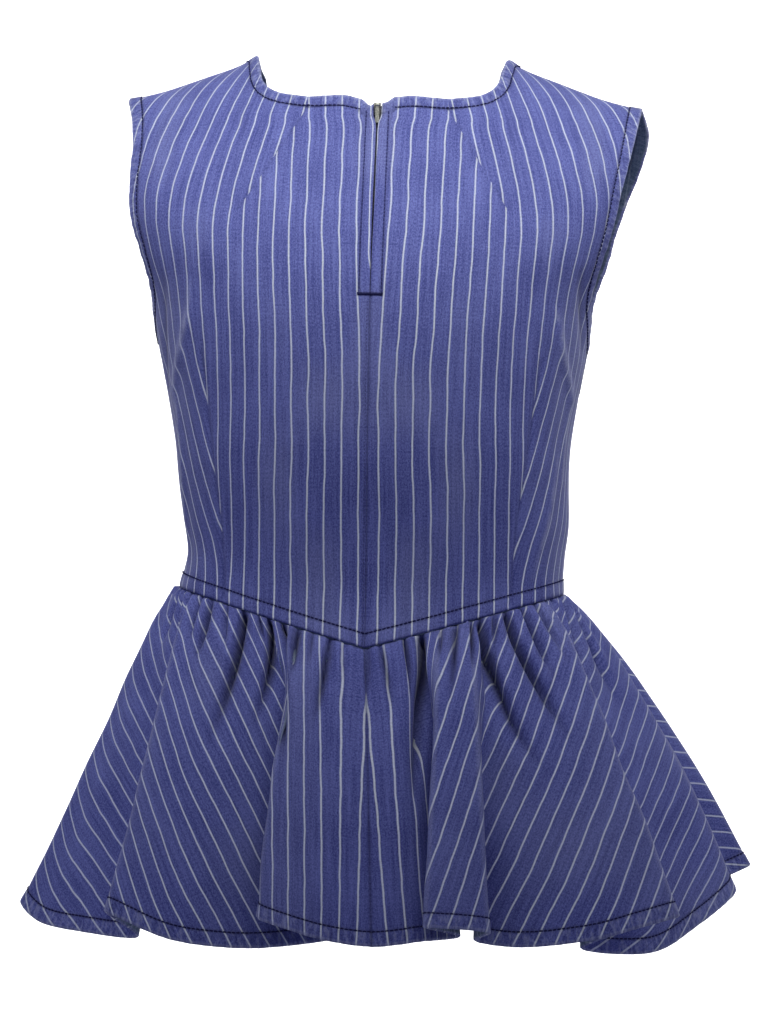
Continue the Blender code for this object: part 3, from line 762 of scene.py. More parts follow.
class Nodes:
    """Short calls for the nodes of one material."""

    def __init__(self, name, **settings):
        self.material = bpy.data.materials.new(name)
        self.material.use_nodes = True
        self.tree = self.material.node_tree
        self.shader = self.tree.nodes["Principled BSDF"]
        for label, value in settings.items():
            self.shader.inputs[label.replace("_", " ")].default_value = value

    def set(self, socket, value):
        if isinstance(value, Value):
            self.tree.links.new(value.socket, socket)
        elif isinstance(value, tuple):
            socket.default_value = (*value, 1.0)
        else:
            socket.default_value = value

    def add(self, kind, inputs, output=0, **settings):
        node = self.tree.nodes.new(kind)
        for key, value in settings.items():
            setattr(node, key, value)
        for socket, value in inputs.items():
            self.set(node.inputs[socket], value)
        return Value(self, node.outputs[output])

    def maths(self, operation, a, b=0.0):
        return self.add("ShaderNodeMath", {0: a, 1: b}, operation=operation)

    def ease(self, value, low, high):
        inputs = {"Value": value, "From Min": low, "From Max": high}
        return self.add("ShaderNodeMapRange", inputs, "Result", interpolation_type="SMOOTHSTEP")

    def rescale(self, value, low, high, out_low, out_high):
        inputs = {"Value": value, "From Min": low, "From Max": high, "To Min": out_low, "To Max": out_high}
        return self.add("ShaderNodeMapRange", inputs, "Result")

    def mark(self, name):
        """The three numbers that every point of a sheet carries under a name."""
        vector = self.add("ShaderNodeAttribute", {}, "Vector", attribute_name=name)
        parts = self.add("ShaderNodeSeparateXYZ", {0: vector}).socket.node.outputs
        return [Value(self, part) for part in parts]

    def noise(self, x, y, look):
        look = dict(zip(NOISE_COLUMNS, look))
        place = {0: x * look["across"], 1: y * look["up"], 2: look["layer"]}
        vector = self.add("ShaderNodeCombineXYZ", place)
        inputs = {"Vector": vector, "Scale": 1.0, "Detail": look["detail"], "Roughness": look["roughness"]}
        return self.add("ShaderNodeTexNoise", inputs, "Fac")

    def grain(self, kind, **inputs):
        """A texture of Blender's own, by the place on the object."""
        place = self.add("ShaderNodeTexCoord", {}, "Object")
        return self.add(kind, {"Vector": place, **inputs}, "Fac")

    def blend(self, share, a, b):
        return self.add("ShaderNodeMix", {0: share, 6: a, 7: b}, 2, data_type="RGBA")

    def finish(self, colour, height, strength, distance):
        """The material with its colour, and with a relief too fine for the mesh."""
        lift = self.add("ShaderNodeBump", {"Strength": strength, "Distance": distance, "Height": height})
        self.set(self.shader.inputs["Base Color"], colour)
        self.set(self.shader.inputs["Normal"], lift)
        return self.material


def denim(name, dark, light, stripe_share, phase):
    """Washed denim: stripes, streaks along the warp, thin weft lines, and puckers at turned edges."""
    n = Nodes(name, Roughness=0.86, Specular_IOR_Level=0.18, Sheen_Weight=0.16, Sheen_Roughness=0.45,
              Sheen_Tint=SHEEN)
    inner, outer, up = n.mark("weave")
    dart_side, edge, along = n.mark("edges")
    # The third mark: paler wear with painted highlight, painted shade in grooves, valleys and troughs, and
    # the width of the turned band
    wear, shade, band = n.mark("wear")
    across = inner + n.maths("GREATER_THAN", dart_side, 0.0) * (outer - inner)
    streaks, weft = n.noise(across, up, STREAKS), n.noise(across, up, WEFT)
    grain, clouds = n.noise(across, up, GRAIN), n.noise(across, up, CLOUDS)
    tone = n.rescale(streaks * 0.7 + weft * 0.18 + grain * 1.5 + clouds * 0.3, 1.13, 1.57, 0.0, 1.0)

    (low, low_share), (high, high_share) = STRIPE_WASH
    wash = n.rescale(up, low, high, low_share, high_share)
    place = across + (n.noise(across, up, STRIPE_DRIFT) - 0.5) * STRIPE_DRIFT_REACH + phase
    off_stripe = n.maths("PINGPONG", place, STRIPE_PITCH / 2)
    stripe = (1.0 - n.ease(off_stripe, *STRIPE_EDGE)) * n.rescale(grain, 0.3, 0.7, 0.72, 1.0)
    stripe = stripe * (wash * stripe_share)

    ridges = n.noise(along, edge, RIDGES)
    pucker = n.rescale(ridges, 0.35, 0.65, -1.0, 1.0)
    in_band = 1.0 - n.ease(edge, band * 0.96, band * 1.25)
    rim = (1.0 - n.ease(edge, 0.2, 1.6)) * 0.42 * n.rescale(ridges, 0.3, 0.6, 0.3, 1.0)
    lighten = n.maths("MAXIMUM", pucker, 0.0) * (in_band * 0.34)
    darken = n.maths("MAXIMUM", pucker * -1.0, 0.0) * (in_band * 0.26)
    # Paler cloth: the pucker ridges, the rubbed rims of turned edges, and the wear mark, which holds wear and
    # painted highlight on crease ridges and fold crests
    pale_wear_and_highlight = lighten + rim + wear * n.rescale(grain, 0.3, 0.7, 0.5, 1.2)

    colour = n.blend(stripe, n.blend(tone, dark, light), STRIPE)
    colour = n.blend(n.maths("MINIMUM", pale_wear_and_highlight, 0.9), colour, WORN_AND_HIGHLIGHT)
    # Painted shade from the shade mark, in seam grooves, gather valleys and crease troughs, and the darker
    # pucker troughs, blended towards navy
    colour = n.blend(n.maths("MAXIMUM", darken, shade), colour, NAVY_THREAD_AND_SHADE)
    return n.finish(colour, streaks * 0.25 + grain * 0.30 + pucker * in_band * 0.30, 0.40, 0.0009)


def times(colour, factor):
    return tuple(min(1.0, factor * part) for part in colour)


def thread(name, colour):
    n = Nodes(name, Roughness=0.75, Specular_IOR_Level=0.12)
    twist = n.grain("ShaderNodeTexNoise", Scale=2600.0, Detail=2.0)
    return n.finish(n.blend(n.ease(twist, 0.35, 0.7), colour, times(colour, 1.8)), twist, 0.4, 0.0003)


def metal(name, colour, roughness):
    n = Nodes(name, Metallic=1.0)
    scuff = n.grain("ShaderNodeTexNoise", Scale=900.0, Detail=4.0)
    n.set(n.shader.inputs["Roughness"], n.rescale(scuff, 0.3, 0.7, roughness - 0.08, roughness + 0.12))
    return n.finish(n.blend(n.ease(scuff, 0.5, 0.75), colour, times(colour, 2.1)), scuff, 0.15, 0.0003)


def tape_cloth(name, colour):
    n = Nodes(name, Roughness=0.85)
    weave = n.grain("ShaderNodeTexWave", Scale=900.0, Distortion=1.0)
    return n.finish(n.blend(weave, colour, times(colour, 2.0)), weave, 0.4, 0.0003)


def studio(name, grey, glow):
    """A plain surface of the studio, with some light of its own."""
    return Nodes(name, Base_Color=(grey, grey, grey, 1.0), Roughness=0.9, Emission_Color=(1.0, 1.0, 1.0, 1.0),
                 Emission_Strength=glow).material


# Bodice panels

def edge_relief(distance, band, thick=0.55):
    """A turned edge is a little thicker, and its topstitch sinks in."""
    raised = thick * (1 - ease(band * 0.85, band * 1.1, distance))
    return raised - STITCH_SINK * bump(distance - band, STITCH_WIDTH)


def pucker(distance, along, band, size, seed):
    waves = (soft_noise(along / 3.4, distance / 14.0, seed)
             + 0.5 * soft_noise(along / 1.9, distance / 9.0, seed + 1))
    return size * waves * bump(distance, band * 1.15)


def panel_normals(points, in_neck, side, seams):
    """Outward directions, square to the panel's seams, so that it meets its neighbours there."""
    normals = face_normals(points)
    if side:
        normals = side * normals
        flatten(normals, (slice(None), 0), 0)
    for edge in seams:
        seam = points[:UNDERARM_ROW, edge]
        slope = np.gradient(seam[:, 0], seam[:, 2])
        square = np.stack([np.ones(UNDERARM_ROW), np.zeros(UNDERARM_ROW), -slope], axis=-1)
        square *= np.sign(seam[0, 0]) / np.linalg.norm(square, axis=-1, keepdims=True)
        normals[:UNDERARM_ROW, edge] = square
    flatten(normals, (0, slice(None)), 2)
    flatten(normals, (-1, np.nonzero(~in_neck)[0]), 1)
    return normals


def dart_across(line, heights):
    across, height = np.array(line).T
    return np.interp(-heights, -height, across)


def stripe_places(cloth, side):
    """Each point's place on the flat cloth, for either side of the darts, and how far outside them it is."""
    heights, around = cloth["heights"], cloth["around"]
    apex = [np.interp(APEX_HEIGHT, heights[:, j], cloth["rising"][:, j]) for j in range(heights.shape[1])]
    up = np.where(heights < APEX_HEIGHT, heights, cloth["rising"] - apex + APEX_HEIGHT)
    if not side:
        return np.stack([around, around, up], axis=-1), np.full(heights.shape, -1.0)
    between_darts = ease(-178, -164, up) * (1 - ease(-112, -98, up))
    intake = read(DART_INTAKE, INTAKE_COLUMNS, "intake", up) * (1 - between_darts)
    dart_x = np.where(heights > DARTS_PART_HEIGHT, dart_across(NECK_DART, heights),
                      dart_across(WAIST_DART, heights))
    lean = read(STRIPE_LEAN, LEAN_COLUMNS, "left" if side > 0 else "right", heights)
    lean *= 1 - (1 - LEAN_FAR_SHARE) * ease(*LEAN_FADE, around)
    if side < 0:
        in_slot = ease(SLOT_BOTTOM, SLOT_BOTTOM + 30, heights)
        lean += SLOT_EDGE_LEAN * in_slot * (1 - ease(0, SLOT_EDGE_REACH, around))
    return np.stack([around - lean, around + intake - lean, up], axis=-1), cloth["across"] - dart_x


def add_seams(cloth):
    """The darts, the centre seam, and the stitched edges of the zip opening above it, with painted shade
    along their lines.
    """
    centre, heights = cloth["across"], cloth["heights"]
    flat = np.stack([centre, heights], axis=-1)
    dart = np.minimum(distance_to_line(flat, NECK_DART), distance_to_line(flat, WAIST_DART))
    below = 1 - ease(SLOT_BOTTOM - 4, SLOT_BOTTOM, heights)
    beside = ease(SLOT_BOTTOM - 2, SLOT_BOTTOM + 1, heights)
    relief = 0.25 * bump(dart - 3.0, 2.0) - DART_DEPTH * bump(dart, DART_SPREAD) - 0.75 * bump(dart, 1.3)
    relief += (0.35 * bump(centre - 4.0, 3.0) - 0.5 * bump(centre, 1.0)) * below
    relief += 0.6 * (1 - ease(SLOT_STITCH - 0.8, SLOT_STITCH + 1.2, centre)) * beside
    relief -= 0.55 * bump(centre - SLOT_STITCH, STITCH_WIDTH) * beside
    cloth["relief"] += relief
    # Painted shade in the dart seams, the centre seam and the stitch grooves beside the opening
    cloth["shade"] = np.maximum.reduce([
        cloth["shade"], 0.30 * bump(dart, 0.7), 0.22 * bump(centre, 0.7) * below,
        0.40 * bump(centre - SLOT_STITCH, 1.0) * beside])


def add_creases(cloth, angles, side):
    """Soft ridges, paler along their tops with wear and painted highlight, and troughs with painted shade."""
    on_cloth = np.stack([cloth["around"], cloth["heights"]], axis=-1)
    for k, row in enumerate(CREASES):
        fold = dict(zip(CREASE_COLUMNS, row))
        if side * fold["x1"] < 0:
            continue
        ends = [(cloth_place(-1, angles, fold[x], fold[z]), fold[z]) for x, z in (("x1", "z1"), ("x2", "z2"))]
        cloth["relief"] += fold["rise"] * crease(on_cloth, *ends, fold["width"])
        # Ridges get pale tops: wear, and painted highlight where the ridge catches the light
        if fold["rise"] > 0.9:
            patchy = 0.55 + 0.6 * soft_noise(cloth["up"] / 6.0, cloth["around"] / 3.0, 51 + k)
            cloth["wear"] += 0.85 * crease(on_cloth, *ends, 1.8) * np.clip(patchy, 0, 1)
        # Troughs get painted shade
        if fold["rise"] < 0:
            cloth["shade"] = np.maximum(cloth["shade"], 0.45 * crease(on_cloth, *ends, 3.2))


def bodice_panel(name, facing, side, finishes):
    """One front (facing -1, side 1 or -1) or the whole back (facing 1, side 0), and its lines of stitches."""
    angles = half_angles(side) if side else np.concatenate([half_angles(1)[::-1], half_angles(-1)[1:]])
    seams = [-1] if side else [0, -1]
    points = bodice_grid(facing, angles)
    heights = points[..., 2].copy()
    around = girth(facing, np.broadcast_to(angles, heights.shape), heights)
    if side:
        slot = columns_of(SLOT, SLOT_COLUMNS)
        gap = np.interp(heights, slot["height"], slot["half_gap"])
        points[..., 0] = side * gap + points[..., 0] * (1 - gap / np.abs(points[:, -1:, 0]))
    rising = length_up(points)
    cloth = {"heights": heights, "around": around, "rising": rising, "across": np.abs(points[..., 0])}
    weave, dart_side = stripe_places(cloth, side)
    up = cloth["up"] = weave[..., 2]

    in_neck = np.abs(angles) <= np.where(angles < 0, neck_point_angle(-1), neck_point_angle(1)) + 0.01
    normals = panel_normals(points, in_neck, side, seams)
    neck_edge = points[-1, in_neck]
    arm_edges = [points[UNDERARM_ROW - 1:, edge] for edge in seams]
    neck_gap, neck_along = near_edge(points, neck_edge)
    arms = np.array([near_edge(points, edge) for edge in arm_edges])
    arm_gap, arm_along = np.where(arms[0, 0] <= arms[-1, 0], arms[0], arms[-1])
    turned = np.zeros(heights.shape)
    turned[-1, in_neck] = 1
    turned[UNDERARM_ROW:, seams] = 1

    near_waist = 1 - ease(0, 2.2 * WAIST_BAND, rising)
    cloth["relief"] = (
        edge_relief(neck_gap, NECK_BAND) + edge_relief(arm_gap, ARMHOLE_BAND)
        + 0.5 * (1 - ease(WAIST_BAND * 0.9, WAIST_BAND * 1.1, rising))
        - STITCH_SINK * bump(rising - WAIST_BAND, STITCH_WIDTH)
        + pucker(neck_gap, neck_along, NECK_BAND, 0.30, 11)
        + pucker(arm_gap, arm_along, ARMHOLE_BAND, 0.34, 13)
        + 0.8 * soft_noise(around / 46.0 + 3, up / 52.0, 31) + 0.35 * soft_noise(around / 17.0, up / 30.0, 33)
        + 0.40 * soft_noise(around / 7.0, rising / 12.0, 35) * near_waist * (rising > 0))
    cloth["wear"] = 0.18 * np.clip(soft_noise(around / 30.0, up / 55.0, 41), 0, 1)
    # Painted shadow along the waist seam, under the bottom edge of the bodice
    cloth["shade"] = 0.45 * bump(rising - 0.6, 0.8)
    if side:
        add_seams(cloth)
        add_creases(cloth, angles, side)

    outer = points + cloth["relief"][..., None] * normals
    edge = np.minimum(neck_gap, arm_gap)
    band = np.where(neck_gap < arm_gap, NECK_BAND, ARMHOLE_BAND)
    along = np.where(neck_gap < arm_gap, neck_along, arm_along)
    # Painted shade in the stitch grooves inside the turned edges and along the waist topstitch
    seams = 0.50 * bump(edge - band, 0.85) + 0.38 * bump(rising - WAIST_BAND, 0.85)
    shade = np.maximum(cloth["shade"], seams)
    grid = {"outer": outer, "inner": outer - wall(CLOTH, band, edge)[..., None] * normals, "turned": turned,
            "weave": weave, "edges": np.stack([dart_side, edge, along], axis=-1),
            "wear": np.stack([cloth["wear"], shade, band], axis=-1)}
    if side < 0:
        grid = {label: values[:, ::-1] for label, values in grid.items()}
    stitched = [offset_line(outer, normals, neck_edge, NECK_BAND)]
    if side:
        stitched = [end_at_slot(*stitched[0], side)]
    stitched += [offset_line(outer, normals, edge, ARMHOLE_BAND) for edge in arm_edges]
    stitched.append(level_line(outer, normals, rising, WAIST_BAND))
    return sheet_mesh(name, grid, finishes), outer, normals, stitched


def wall(thickness, band, distance):
    """Thickness of the cloth, which is more where its edge is turned."""
    return thickness + TURNED_EXTRA * (1 - ease(band * 0.8, band * 1.1, distance))


def end_at_slot(place, up, side):
    """The neck's stitches, which end at the stitches of the zip opening."""
    kept = np.abs(place[:, 0]) > NECK_STITCH_START
    place, up = place[kept], up[kept]
    end = place[:1] * (0, 1, 1) + (side * SLOT_STITCH, -0.1, -0.6)
    return np.concatenate([end, place]), np.concatenate([up[:1], up])


def level_line(outer, normals, rising, distance):
    """Points at one distance up each column."""
    place, up = [], []
    for j in range(outer.shape[1]):
        place.append([np.interp(distance, rising[:, j], outer[:, j, k]) for k in range(3)])
        up.append([np.interp(distance, rising[:, j], normals[:, j, k]) for k in range(3)])
    return np.array(place), np.array(up)


def offset_line(outer, normals, edge, distance):
    """A line on the cloth at a distance inside one of its edges."""
    flat_points, flat_normals = outer.reshape(-1, 3), normals.reshape(-1, 3)
    index = np.arange(len(flat_points)).reshape(outer.shape[:2])
    tree = BVHTree.FromPolygons(flat_points.tolist(), grid_faces(index).tolist())
    place, up = [], []
    tangent = np.gradient(edge, axis=0)
    for k in range(len(edge)):
        near = np.argmin(((flat_points - edge[k]) ** 2).sum(1))
        normal = flat_normals[near]
        inward = np.cross(normal, tangent[k])
        inward /= max(np.linalg.norm(inward), 1e-9)
        for way in (1, -1):
            spot, _, _, gap = tree.find_nearest(Vector(edge[k] + way * distance * inward))
            if gap < 0.45 * distance:
                break
        spot = np.array(spot)
        nearest = np.argmin(((flat_points - spot) ** 2).sum(1))
        place.append(spot)
        up.append(flat_normals[nearest])
    return np.array(place), np.array(up)


# Peplum panels

def waist_point(turn):
    turn = np.asarray(turn, dtype=float)
    in_front = np.abs(turn) <= 1
    front_angle = 90 * np.clip(turn, -1, 1)
    back_angle = np.sign(turn) * 90 * (2 - np.clip(np.abs(turn), 1, 2))
    front = torso(-1, front_angle, waist_height(-1, front_angle))
    back = torso(1, back_angle, waist_height(1, back_angle))
    return np.where(in_front[..., None], front, back)


def hem_and_waist(spacing):
    table = columns_of(PEPLUM_FOLDS, FOLD_COLUMNS)
    angle = np.radians(table["hem_angle"])
    x = table["hem_radius"] * np.sin(angle)
    y = -table["hem_radius"] * np.cos(angle)
    chord = np.hypot(np.diff(x), np.diff(y))
    knots = np.concatenate([[0], np.cumsum(np.sqrt(chord))])
    spans = np.maximum(2, np.round(chord / spacing)).astype(int)
    steps = [np.linspace(knots[i], knots[i + 1], n, endpoint=False) for i, n in enumerate(spans)]
    at = np.append(np.concatenate(steps), knots[-1])
    before, after = slice(-1 - WRAP_ROWS, -1), slice(1, 1 + WRAP_ROWS)
    wrapped = np.concatenate([knots[before] - knots[-1], knots, knots[-1] + knots[after]])

    def around(values):
        return smooth(wrapped, np.concatenate([values[before], values, values[after]]), at)

    turn = np.interp(at, knots, table["waist_turn"])
    hem = np.stack([around(x), around(y), around(table["hem_height"])], axis=-1)
    row_columns = np.concatenate([[0], np.cumsum(spans)])
    belly = np.interp(at, knots, table["belly"])
    return turn, hem, belly, dict(zip(table["waist_turn"], row_columns))


def gather_table():
    """The front's gathers and like ones, a little uneven, round the sides and the back."""
    rows = [list(row) for row in FRONT_GATHERS]
    turn = 1.0
    while turn < 2.96:
        turn += HIDDEN_GATHER_STEP * rng.uniform(0.7, 1.3)
        rows.append([turn if turn <= 2 else turn - 4, rng.uniform(2.4, 5.4), rng.uniform(2.2, 3.4),
                     rng.uniform(0.15, 0.45), rng.uniform(-0.03, 0.03)])
    return columns_of(rows, GATHER_COLUMNS)


def gathers(share, turn, along, wrap):
    """Depth of the gathers at each point, and the painted shade in their valleys. along is the length round
    each row.
    """
    table = gather_table()
    total, dark = np.zeros(along.shape), np.zeros(along.shape)
    index = np.arange(len(turn))
    for k in range(len(table["turn"])):
        line_turn = table["turn"][k] + table["drift"][k] * share[:, 0]
        column = np.interp(line_turn, turn, index)
        here = np.array([np.interp(c, index, along[i]) for i, c in enumerate(column)])
        signed = along - here[:, None]
        signed -= wrap[:, None] * np.round(signed / wrap[:, None])
        steeper = signed * (-1) ** k > 0
        gap = np.abs(signed) * np.where(steeper, 1.7, 0.8)
        width = table["width"][k] * (1 + 3.2 * share)
        length = GATHER_REACH * table["length"][k]
        fade = ease(0, GATHER_TOP, share + 0.008) * (1 - ease(0.2 * length, length, share))
        valley = np.exp(-np.sqrt((gap / width) ** 2 + 0.004) * 1.8)
        crest = 0.42 * bump(gap - 2.1 * width, 1.2 * width)
        total += table["depth"][k] * fade * (GATHER_DEPTH * valley - crest)
        # Painted shade down the valleys of the deeper gathers
        dark = np.maximum(dark, np.minimum(1, table["depth"][k] / 5) * fade * bump(gap, 0.55 * width))
    return total, dark


def peplum_rows():
    top = np.linspace(0, 0.05, 8, endpoint=False)
    middle = np.linspace(0.05, 0.95, 78, endpoint=False)
    low = np.linspace(0.95, 1.0, 9)
    return np.concatenate([top, middle, low])[::-1, None]


def cut_angles(hem_run, right, front, left):
    """Angle of each column of the grid on the flat cut of its panel, from the middle of the front or back."""
    angle = np.zeros(len(hem_run))
    for start, end in ((right, front), (front, left)):
        run = hem_run[start:end + 1] - hem_run[front]
        angle[start:end + 1] = run / (hem_run[end] - hem_run[start]) * CUT_ANGLE
    back_length = (hem_run[-1] - hem_run[left]) + (hem_run[right] - hem_run[0])
    angle[left + 1:] = (hem_run[left + 1:] - hem_run[-1]) / back_length * 2 * CUT_ANGLE
    angle[:right] = (hem_run[:right] - hem_run[0]) / back_length * 2 * CUT_ANGLE
    return angle


def peplum_form():
    """The peplum all round before its gathers, with the hem as the first row and the waist as the last."""
    turn, hem, belly, column_at = hem_and_waist(HEM_SPACING)
    waist = waist_point(turn)
    share = peplum_rows()
    spread = share + PEPLUM_PUFF * share * (1 - share) ** PUFF_HEIGHT
    points = waist + (hem - waist) * spread[..., None]
    top = waist[:, 2] - SEAM_GAP / 2
    points[..., 2] = top + (hem[:, 2] - top) * share
    out = (hem - waist) * (1, 1, 0)
    out /= np.linalg.norm(out, axis=-1, keepdims=True)
    points += (belly * np.sin(pi * share ** BELLY_LOWNESS))[..., None] * out
    return points, turn, share, [column_at[quarter] for quarter in (-1.0, 0.0, 1.0)]


def peplum_grid():
    """The gathered cloth of the peplum all round, and the columns where its panels meet."""
    points, turn, share, (right, front, left) = peplum_form()
    along = length_across(points)
    wrapped = np.concatenate([points[:, -2:-1], points, points[:, 1:2]], axis=1)
    normals = face_normals(wrapped)[:, 1:-1]
    rising = length_up(points)
    falling = rising[-1] - rising
    hem_run = along[0]
    angle = cut_angles(hem_run, right, front, left)
    column = np.arange(len(turn))
    in_front = (column >= right) & (column <= left)
    cut_radius = CUT_RADIUS + CUT_LENGTH * falling / rising[-1]
    grain = np.radians(np.where(in_front, np.abs(angle) - GRAIN_ANGLE, angle))
    weave_x, weave_y = cut_radius * np.sin(grain), -cut_radius * np.cos(grain)
    cut_place = np.radians(angle) * CUT_RADIUS
    centre = np.abs((hem_run - hem_run[front]) * (0.35 + 0.65 * share))

    sunk, dark = gathers(share, turn, along, along[:, -1])
    under_waist = ease(0.0, 0.015, share) * (1 - ease(0.03, 0.22, share))
    middle = ease(0.02, 0.1, share) * (1 - ease(0.2, 0.6, share))
    relief = -sunk * (1 - 0.7 * (1 - ease(0.0, 0.012, share)))
    relief += ease(0.0, 0.15, share) * (1.4 * soft_noise(cut_place / 36.0 + 5, falling / 70.0, 61)
                                        + 0.70 * soft_noise(cut_place / 13.0, falling / 34.0, 63))
    relief += under_waist * (0.7 + 1.1 * soft_noise(cut_place / 9.0, falling / 26.0, 69))
    relief += 0.7 * middle * soft_noise(cut_place / 11.0, falling / 44.0, 71)
    hem_runs = np.broadcast_to(hem_run, rising.shape)
    relief += edge_relief(rising, HEM_BAND, 0.5) + pucker(rising, hem_runs, HEM_BAND, 0.5, 65)
    relief -= 0.4 * bump(falling, 1.5) + 0.7 * bump(centre, 1.0)
    outer = points + relief[..., None] * normals
    outer[:, -1] = outer[:, 0]
    flatten(normals, (-1, slice(None)), 2)

    # Random pale patches of wear, and paler fold crests, as worn cloth and as painted highlight
    wear = 0.16 * np.clip(soft_noise(cut_place / 30.0, falling / 60.0, 67), 0, 1) + 0.30 * curvature(points)
    # Painted shade: under the waist seam, at the centre seam, down the gather valleys and in the hem's stitch
    # groove
    shade = np.maximum.reduce([0.35 * bump(falling, 1.3) + 0.30 * bump(centre, 0.8), 0.90 * dark,
                               0.55 * bump(rising - HEM_BAND, 0.85)])
    turned = np.zeros(rising.shape)
    turned[0] = 1
    grid = {"outer": outer, "inner": outer - wall(PEPLUM_CLOTH, HEM_BAND, rising)[..., None] * normals,
            "normals": normals, "rising": rising, "turned": turned,
            "weave": np.stack([weave_x, weave_x, weave_y], axis=-1),
            "edges": np.stack([-np.ones(rising.shape), rising, hem_runs], axis=-1),
            "wear": np.stack([wear, shade, np.full(rising.shape, HEM_BAND)], axis=-1)}
    return grid, right, front, left


def peplum_panels(finishes):
    """The fronts and the back of the peplum, parted at their seams, and the stitches of the hem."""
    grid, right, front, left = peplum_grid()
    cuts = {"peplum_front_right": [slice(right, front + 1)], "peplum_front_left": [slice(front, left + 1)],
            "peplum_back": [slice(left, -1), slice(0, right + 1)]}
    made, hem_lines = {}, []
    for name, spans in cuts.items():
        part = {label: np.concatenate([values[:, span] for span in spans], axis=1)
                for label, values in grid.items()}
        for surface in (part["outer"], part["inner"]):
            for edge, neighbour in ((0, 1), (-1, -2)):
                step = surface[:, neighbour] - surface[:, edge]
                step /= np.linalg.norm(step, axis=-1, keepdims=True)
                surface[:, edge] += PEPLUM_SEAM_GAP / 2 * step
        made[name] = sheet_mesh("cloth_" + name, part, finishes)
        hem_lines.append(level_line(part["outer"], part["normals"], part["rising"], HEM_BAND))
    return made, hem_lines


def curvature(points):
    """How sharply the cloth turns outward at the crest of a fold, from 0 to 1."""
    tangent = np.gradient(points, axis=1)
    tangent /= np.maximum(np.linalg.norm(tangent, axis=-1, keepdims=True), 1e-9)
    bend = np.gradient(tangent, axis=1)
    size = np.linalg.norm(np.gradient(points, axis=1), axis=-1)
    normals = face_normals(points)
    turning = -np.sum(bend * normals, axis=-1) / np.maximum(size, 0.3)
    return ease(0.05, 0.16, turning)


# Centre front

def front_surface(across, height):
    half_width = read(FRONT_SECTIONS, SECTION_COLUMNS, "half_width", height)
    return torso(-1, np.degrees(np.arcsin(across / half_width)), height)


def line_on(outer, normals, across, heights):
    """Points on a front at a distance from the centre line, down a run of heights."""
    place, up = [], []
    for height in heights:
        row, deep = (np.array([np.interp(height, column[:, 2], column[:, k])
                               for column in outer[:, :CENTRE_COLUMNS].swapaxes(0, 1)]) for k in (0, 1))
        order = np.argsort(np.abs(row))
        y = np.interp(abs(across), np.abs(row)[order], deep[order])
        place.append((across, y, height))
        up.append(normals[np.argmin(np.abs(outer[:, NEAR_COLUMN, 2] - height)), NEAR_COLUMN])
    return np.array(place), np.array(up)


def bar_tack(finish):
    """A close row of upright stitches across the foot of the zip opening."""
    lines = []
    for k, across in enumerate(np.linspace(-SLOT_STITCH - 0.6, SLOT_STITCH + 0.6, 34)):
        y = front_surface(np.array([across]), np.array([SLOT_BOTTOM]))[0, 1] - 0.75
        lean = 0.25 * (-1) ** k
        ends = np.array([(across - lean, y, SLOT_BOTTOM + 1.1), (across + lean, y, SLOT_BOTTOM - 1.1)])
        lines.append((ends, np.array([(0.0, -1.0, 0.1), (0.0, -1.0, 0.1)])))
    return thread_piece("bar_tack", lines, finish, 2.2, 0.0, 0.40)


def zip_tape(finish):
    across, height = np.meshgrid(np.linspace(-11.5, 11.5, 24), np.linspace(-157.5, -22.5, 124))
    points = front_surface(across, height)
    normals = face_normals(points)
    outer = points - (CLOTH + 2 * SEAM_GAP) * normals
    grid = {"outer": outer, "inner": outer - TAPE_THICKNESS * normals, "turned": np.zeros(across.shape),
            "weave": np.stack([across, across, height], axis=-1)}
    return sheet_mesh("cloth_zip_tape", grid, [finish, finish])


def zip_teeth(finish):
    """Two rows of small teeth down the middle of the tape, each with a rounded head."""
    heights = np.arange(-150.0, -31.0, TOOTH_PITCH)
    side = np.where(np.arange(len(heights)) % 2, -1.0, 1.0)
    deep = front_surface(np.zeros(len(heights)), heights)[:, 1] + CLOTH + 0.2
    vertices = []
    for at, size in TOOTH_RINGS:
        for turn in 2 * pi * np.arange(TOOTH_SIDES) / TOOTH_SIDES:
            vertices.append(np.stack([side * (0.35 - at), deep - side * 0.48 * size * sin(turn),
                                      heights + 0.42 * size * cos(turn)], axis=1))
    faces = tube_faces(len(TOOTH_RINGS), TOOTH_SIDES, len(heights))
    return joined_mesh("zip_teeth", np.concatenate(vertices) * METRES, faces, finish)


# Studio

def place_camera():
    yaw, roll, aim = radians(CAMERA_YAW), radians(CAMERA_ROLL), radians(CAMERA_AIM)
    forward = Vector((-sin(yaw), cos(yaw), 0))
    right = Vector((cos(yaw), sin(yaw), 0))
    up = Vector((0, 0, 1))
    place = -CAMERA_DISTANCE * forward + Vector((0, 0, CAMERA_HEIGHT))
    look = forward * cos(aim) + right * sin(aim)
    right = look.cross(up).normalized()
    right_rolled = right * cos(roll) + up * sin(roll)
    up_rolled = up * cos(roll) - right * sin(roll)
    data = bpy.data.cameras.new("camera")
    data.sensor_fit = "VERTICAL"
    data.sensor_height = SENSOR_HEIGHT
    data.lens = FOCAL_PIXELS * SENSOR_HEIGHT / IMAGE_HEIGHT
    turn = Matrix((right_rolled, up_rolled, -look)).transposed()
    camera = placed("camera", data)
    camera.matrix_world = Matrix.Translation(place) @ turn.to_4x4()
    bpy.context.scene.camera = camera


def area_light(name, place, target, size, power, spread, colour):
    data = bpy.data.lights.new(name, "AREA")
    data.shape = "RECTANGLE"
    data.size, data.size_y = size
    data.energy = power
    data.spread = radians(spread)
    data.color = colour
    lamp = placed(name, data)
    lamp.visible_camera = False
    lamp.location = place
    lamp.rotation_euler = (Vector(target) - Vector(place)).to_track_quat("-Z", "Y").to_euler()


